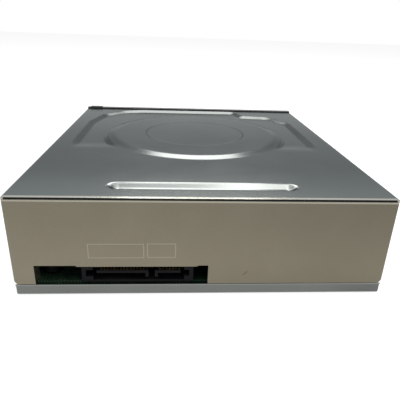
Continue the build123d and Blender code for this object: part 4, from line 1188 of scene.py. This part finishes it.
@dataclass
class BoardParts(Paint):
    """The main board's tracks, and small resistors and capacitors in rows on it."""

    # Each row's first place in X, its place in Y, the number of parts and their pitch.
    rows: list[tuple[float, float, int, float]] = field(default_factory=lambda: [
        (-38.0, 56.0, 7, 3.2), (-38.0, 34.0, 6, 3.4), (-12.0, 40.0, 5, 3.0),
        (-12.0, 47.0, 5, 3.0), (34.0, 31.0, 6, 3.1), (34.0, 37.5, 6, 3.1),
        (50.0, 66.0, 4, 3.6), (50.0, 71.0, 4, 3.6), (-60.0, 66.0, 8, 4.2), (-60.0, 74.0, 8, 4.2)])
    size: Point = (1.0, 1.6, 0.5)
    cap: float = 0.35
    solder: float = 0.04
    track_wave: float = 5200.0
    track_bend: float = 0.006
    pad_scale: float = 420.0
    track_mark: Mark = Mark((70, 96, 74), 0.75)
    pad_mark: Mark = Mark((138, 134, 108), 0.7)

    def tone(self, wiring: Wiring, colour: Socket) -> Socket:
        """Draw tracks and small pads on the board.

        Args:
            wiring: The material's nodes.
            colour: The bare board's colour.

        Returns:
            The finished colour.
        """
        spot = wiring.spot()
        bend = wiring.times(wiring.noise(spot, 60.0, 1.0), self.track_bend)
        across = wiring.maths("ADD", wiring.axes(spot)[0], bend)
        wave = wiring.maths("SINE", wiring.times(across, self.track_wave))
        zone = wiring.ramp(wiring.noise(spot, 90.0, 1.0), 0.46, 0.5)
        tracks = wiring.times(wiring.ramp(wave, 0.55, 0.8), zone)
        dots = wiring.add("ShaderNodeTexVoronoi", feature="F1")
        wiring.feed(dots.inputs["Vector"], spot)
        wiring.feed(dots.inputs["Scale"], self.pad_scale)
        pads = wiring.ramp(dots.outputs["Distance"], 0.14, 0.1)
        return wiring.lay(colour, (tracks, self.track_mark), (pads, self.pad_mark))

    def build(self, shop: FinishShop) -> None:
        """Set the parts' bodies and their soldered ends.

        Args:
            shop: Where their materials come from.
        """
        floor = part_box("main_board")[1].z / MM
        bodies, ends = bmesh.new(), bmesh.new()
        wide, long, tall = (value / 2 for value in self.size)
        for first, y, count, pitch in self.rows:
            for index in range(count):
                x = first + index * pitch
                add_block(bodies, (x - wide, y - long + self.cap, floor),
                          (x + wide, y + long - self.cap, floor + 2 * tall))
                for side in (-1, 1):
                    near, far = sorted((side * (long - self.cap), side * long))
                    add_block(ends, (x - wide, y + near, floor),
                              (x + wide, y + far, floor + 2 * tall + self.solder))
        place_piece(bodies, "board_part_bodies", shop, "chip_black")
        place_piece(ends, "board_part_ends", shop, "screw_steel")


@dataclass
class ScrewThread:
    """The helical thread on the lead screw that moves the pickup."""

    pitch: float = 1.5
    ridge: float = 0.16
    width: float = 0.7
    root: float = 0.02
    steps: int = 18
    margin: float = 3.0

    def build(self, shop: FinishShop) -> None:
        """Spin the thread's section along the screw.

        Args:
            shop: Where its material comes from.
        """
        low, high = (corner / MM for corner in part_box("lead_screw"))
        middle = (low + high) / 2
        radius = (high.x - low.x) / 2
        start, length = low.y + self.margin, high.y - low.y - 2 * self.margin
        turns = int(length / self.pitch) - 1
        form = bmesh.new()
        foot = radius - self.root
        section = [form.verts.new((middle.x + out, start + along, middle.z))
                   for out, along in ((foot, -self.width / 2), (radius + self.ridge, 0),
                                      (foot, self.width / 2))]
        edges = [form.edges.new(pair) for pair in zip(section, section[1:])]
        bmesh.ops.spin(form, geom=section + edges, cent=(middle.x, 0, middle.z), axis=(0, 1, 0),
                       dvec=(0, self.pitch / self.steps, 0), angle=math.tau * turns,
                       steps=self.steps * turns, use_merge=False)
        place_piece(form, "lead_screw_thread", shop, "bright_steel", "screw_unit")


@dataclass
class RearHems:
    """Folded hems that close the joints over and under the rear panel."""

    half_width: float = 72.6
    panel_hem: Span = (40.2, 40.6)
    flange_hem: Span = (4.2, 4.75)
    depth: Span = (84.4, 84.96)
    softness: float = 0.12

    def build(self, shop: FinishShop) -> None:
        """Build both hems.

        Args:
            shop: Where their materials come from.
        """
        for name, heights, slot in (("panel_hem", self.panel_hem, "panel_steel"),
                                    ("flange_hem", self.flange_hem, "base_steel")):
            form = bmesh.new()
            add_block(form, (-self.half_width, self.depth[0], heights[0]),
                      (self.half_width, self.depth[1], heights[1]))
            round_edges(form, form.edges[:], self.softness, 3)
            place_piece(form, name, shop, slot, smooth=True)


class Ray(Enum):
    """What a lamp's light is for."""

    MIRRORED = "shows in reflections"
    SOFT = "lights surfaces softly"


@dataclass(frozen=True)
class Lamp:
    """One soft lamp; lengths are in metres, and a radiance of 1 is white."""

    name: str
    place: Point
    aim: Point
    size: Span
    radiance: float
    ray: Ray = Ray.MIRRORED
    warmth: Point = (1.0, 0.955, 0.895)

    def hang(self) -> None:
        """Hang the lamp so that it faces its aim."""
        mirrored = self.ray is Ray.MIRRORED
        data = bpy.data.lights.new(self.name, "AREA")
        data.shape = "RECTANGLE"
        data.size, data.size_y = self.size
        data.energy = self.radiance * math.pi * self.size[0] * self.size[1]
        if mirrored:
            data.color = self.warmth
        lamp = bpy.data.objects.new(self.name, data)
        lamp.location = self.place
        toward = Vector(self.aim) - Vector(self.place)
        lamp.rotation_euler = toward.to_track_quat("-Z", "Y").to_euler()
        lamp.visible_diffuse = not mirrored
        lamp.visible_glossy = mirrored
        bpy.context.scene.collection.objects.link(lamp)


@dataclass
class Studio:
    """White floor and background, soft lamps, and the camera of the photograph."""

    eye: Point = (0.01222, 0.22229, 0.09987)
    yaw: float = -4.104
    pitch: float = 23.146
    roll: float = 2.078
    lens: float = 37.198
    sensor: float = 36.0
    ambient: float = 0.4
    floor_lift: float = 0.62
    floor_calm: float = 0.1
    floor_white: float = 0.8
    floor_half: float = 3000.0
    floor_drop: float = 0.05
    clip_start: float = 0.005
    lamps: tuple[Lamp, ...] = (
        Lamp("low_softbox", (-0.04, -0.743, 0.7), (0, 0, 0.03), (0.42, 0.29), 8.6),
        Lamp("high_softbox", (-0.04, -0.423, 0.936), (0, 0, 0.03), (0.42, 0.52), 4.4),
        Lamp("side_softbox", (-0.24, -0.18, 0.87), (-0.2, -0.1, 0), (0.22, 0.34), 4.4),
        Lamp("fill_softbox", (-0.14, 0.1, 1.0), (0, 0, 0.03), (1.3, 1.3), 1.3, Ray.SOFT))

    def camera(self) -> None:
        """Stand the camera where the photograph was taken."""
        yaw, pitch, roll = (math.radians(angle) for angle in (self.yaw, self.pitch, self.roll))
        ahead = Vector((math.sin(yaw) * math.cos(pitch), -math.cos(yaw) * math.cos(pitch),
                        -math.sin(pitch)))
        level = Vector((-math.cos(yaw), -math.sin(yaw), 0))
        above = level.cross(ahead)
        right = level * math.cos(roll) + above * math.sin(roll)
        top = above * math.cos(roll) - level * math.sin(roll)
        data = bpy.data.cameras.new("camera")
        data.lens = self.lens
        data.sensor_width = self.sensor
        data.clip_start = self.clip_start
        eye = bpy.data.objects.new("camera", data)
        columns = Matrix((right, top, -ahead)).transposed().to_4x4()
        eye.matrix_world = Matrix.Translation(self.eye) @ columns
        bpy.context.scene.collection.objects.link(eye)
        bpy.context.scene.camera = eye

    @staticmethod
    def seen_plainly(wiring: Wiring, path: bpy.types.Node) -> Socket:
        """Return 1 for camera, glossy and transmission rays, and 0 for others."""
        seen = wiring.maths("MAXIMUM", path.outputs["Is Camera Ray"], path.outputs["Is Glossy Ray"])
        return wiring.maths("MAXIMUM", seen, path.outputs["Is Transmission Ray"])

    def world(self) -> None:
        """Make a white background that lights the object softly."""
        world = bpy.data.worlds.new("studio")
        world.use_nodes = True
        wiring = Wiring(world.node_tree)
        back = world.node_tree.nodes["Background"]
        back.inputs["Color"].default_value = (1, 1, 1, 1)
        seen = self.seen_plainly(wiring, wiring.add("ShaderNodeLightPath"))
        wiring.feed(back.inputs["Strength"], wiring.maths(
            "ADD", self.ambient, wiring.times(seen, 1.0 - self.ambient)))
        bpy.context.scene.world = world

    def floor(self) -> None:
        """Lay a plain white floor."""
        form = bmesh.new()
        bmesh.ops.create_grid(form, x_segments=8, y_segments=8, size=self.floor_half)
        bmesh.ops.translate(form, verts=form.verts, vec=(0, 0, -self.floor_drop))
        material = bpy.data.materials.new("floor")
        material.use_nodes = True
        wiring = Wiring(material.node_tree)
        shader = material.node_tree.nodes["Principled BSDF"]
        shader.inputs["Base Color"].default_value = (self.floor_white,) * 3 + (1,)
        shader.inputs["Roughness"].default_value = 0.9
        shader.inputs["Specular IOR Level"].default_value = 0.0
        shader.inputs["Emission Color"].default_value = (1, 1, 1, 1)
        path = wiring.add("ShaderNodeLightPath")
        lift = wiring.less(self.floor_lift,
                           wiring.times(path.outputs["Is Glossy Ray"], self.floor_calm))
        wiring.feed(shader.inputs["Emission Strength"],
                    wiring.times(self.seen_plainly(wiring, path), lift))
        to_object(form, "floor", material)

    def build(self) -> None:
        """Set up the whole studio."""
        bpy.context.scene.view_settings.view_transform = "Standard"
        self.camera()
        self.world()
        self.floor()
        for lamp in self.lamps:
            lamp.hang()


FINISHES = [
    Finish("cover_steel", (101, 105, 106), (98, 102, 103), 1.0, 0.2, Grain.ROLLED,
           bump=0.04, wear=0.1, dust=0.0, tint=(190, 192, 192), smear=0.02),
    Finish("panel_steel", (131, 125, 110), (125, 119, 104), 1.0, 0.3, Grain.ROLLED,
           bump=0.06, wear=0.1, wear_colour=(150, 147, 134), dust=0.0, smear=0.04),
    Finish("base_steel", (120, 123, 120), (114, 117, 114), 1.0, 0.32, Grain.ROLLED,
           bump=0.06, wear=0.2, dust=0.04, smear=0.05),
    Finish("screw_steel", (150, 150, 148), (128, 128, 126), 1.0, 0.3, Grain.TURNED, wear=0.4),
    Finish("bright_steel", (188, 190, 192), (174, 176, 178), 1.0, 0.16, Grain.TURNED, wear=0.1),
    Finish("bezel_plastic", (38, 38, 40), (33, 33, 35), 0.0, 0.42, Grain.MOULDED,
           bump=0.18, wear=0.25, wear_colour=(78, 78, 80), dust=0.12, edge_radius=0.25),
    Finish("black_plastic", (15, 16, 20), (12, 13, 16), 0.0, 0.45, Grain.MOULDED,
           bump=0.12, wear=0.12, wear_colour=(54, 54, 57), specular=0.12),
    Finish("grey_plastic", (92, 94, 96), (84, 86, 88), 0.0, 0.48, Grain.MOULDED,
           bump=0.12, wear_colour=(128, 128, 128)),
    Finish("white_plastic", (222, 220, 212), (212, 209, 200), 0.0, 0.4, Grain.MOULDED,
           bump=0.08, wear=0.1, wear_colour=(235, 233, 228)),
    Finish("clear_plastic", (235, 238, 240), (225, 228, 230), 0.0, 0.12, Grain.GLASS,
           bump=0.0, wear=0.1, transmission=0.85, ior=1.49),
    Finish("lens_glass", (238, 244, 250), (230, 238, 246), 0.0, 0.03, Grain.GLASS,
           bump=0.0, wear=0.0, dust=0.0, transmission=0.95, ior=1.52),
    Finish("rubber_black", (28, 28, 29), (22, 22, 23), 0.0, 0.72, Grain.MOULDED,
           bump=0.2, wear=0.15, wear_colour=(60, 60, 60)),
    Finish("board_green", (22, 48, 34), (18, 40, 28), 0.0, 0.34, Grain.MOULDED,
           bump=0.1, wear=0.2, wear_colour=(150, 146, 110), coat=0.3),
    Finish("chip_black", (30, 31, 33), (24, 25, 27), 0.0, 0.5, Grain.CAST, bump=0.1,
           wear=0.15, wear_colour=(70, 70, 72)),
    Finish("capacitor_can", (176, 178, 182), (160, 162, 166), 1.0, 0.28, Grain.TURNED),
    Finish("gold_contact", (158, 130, 74), (142, 114, 62), 1.0, 0.3, Grain.ROLLED, wear=0.1,
           wear_colour=(190, 168, 118)),
    Finish("magnet_dark", (70, 71, 74), (58, 59, 62), 0.85, 0.34, Grain.CAST),
    Finish("zinc_alloy", (146, 148, 150), (130, 132, 134), 0.9, 0.42, Grain.CAST, bump=0.2),
    Finish("motor_can", (158, 160, 162), (146, 148, 150), 1.0, 0.26, Grain.ROLLED, bump=0.05),
    Finish("flex_film", (206, 208, 206), (194, 196, 194), 0.0, 0.38, Grain.MOULDED, bump=0.05,
           wear=0.05),
    Finish("lamp_white", (236, 232, 214), (228, 224, 204), 0.0, 0.3, Grain.GLASS, wear=0.0),
]


def main() -> None:
    """Build every sub-assembly, dress the solids and set up the studio."""
    logging.basicConfig(level=logging.INFO, format="%(name)s: %(message)s")
    cover, board_parts = TopCover(), BoardParts()
    shop = FinishShop(FINISHES, {
        "cover_steel": cover, "panel_steel": RearPanel(), "base_steel": RearFlange(),
        "board_green": board_parts, "flex_film": FlatCables()})
    shop.dress_nodes()
    cover.build(shop)
    RearHems().build(shop)
    for chip in (ChipPins("controller_chip", 0.8, True), ChipPins("driver_chip", 1.0, False),
                 ChipPins("memory_chip", 1.0, False)):
        chip.build(shop)
    board_parts.build(shop)
    ScrewThread().build(shop)
    Studio().build()


if __name__ == "__main__":
    main()
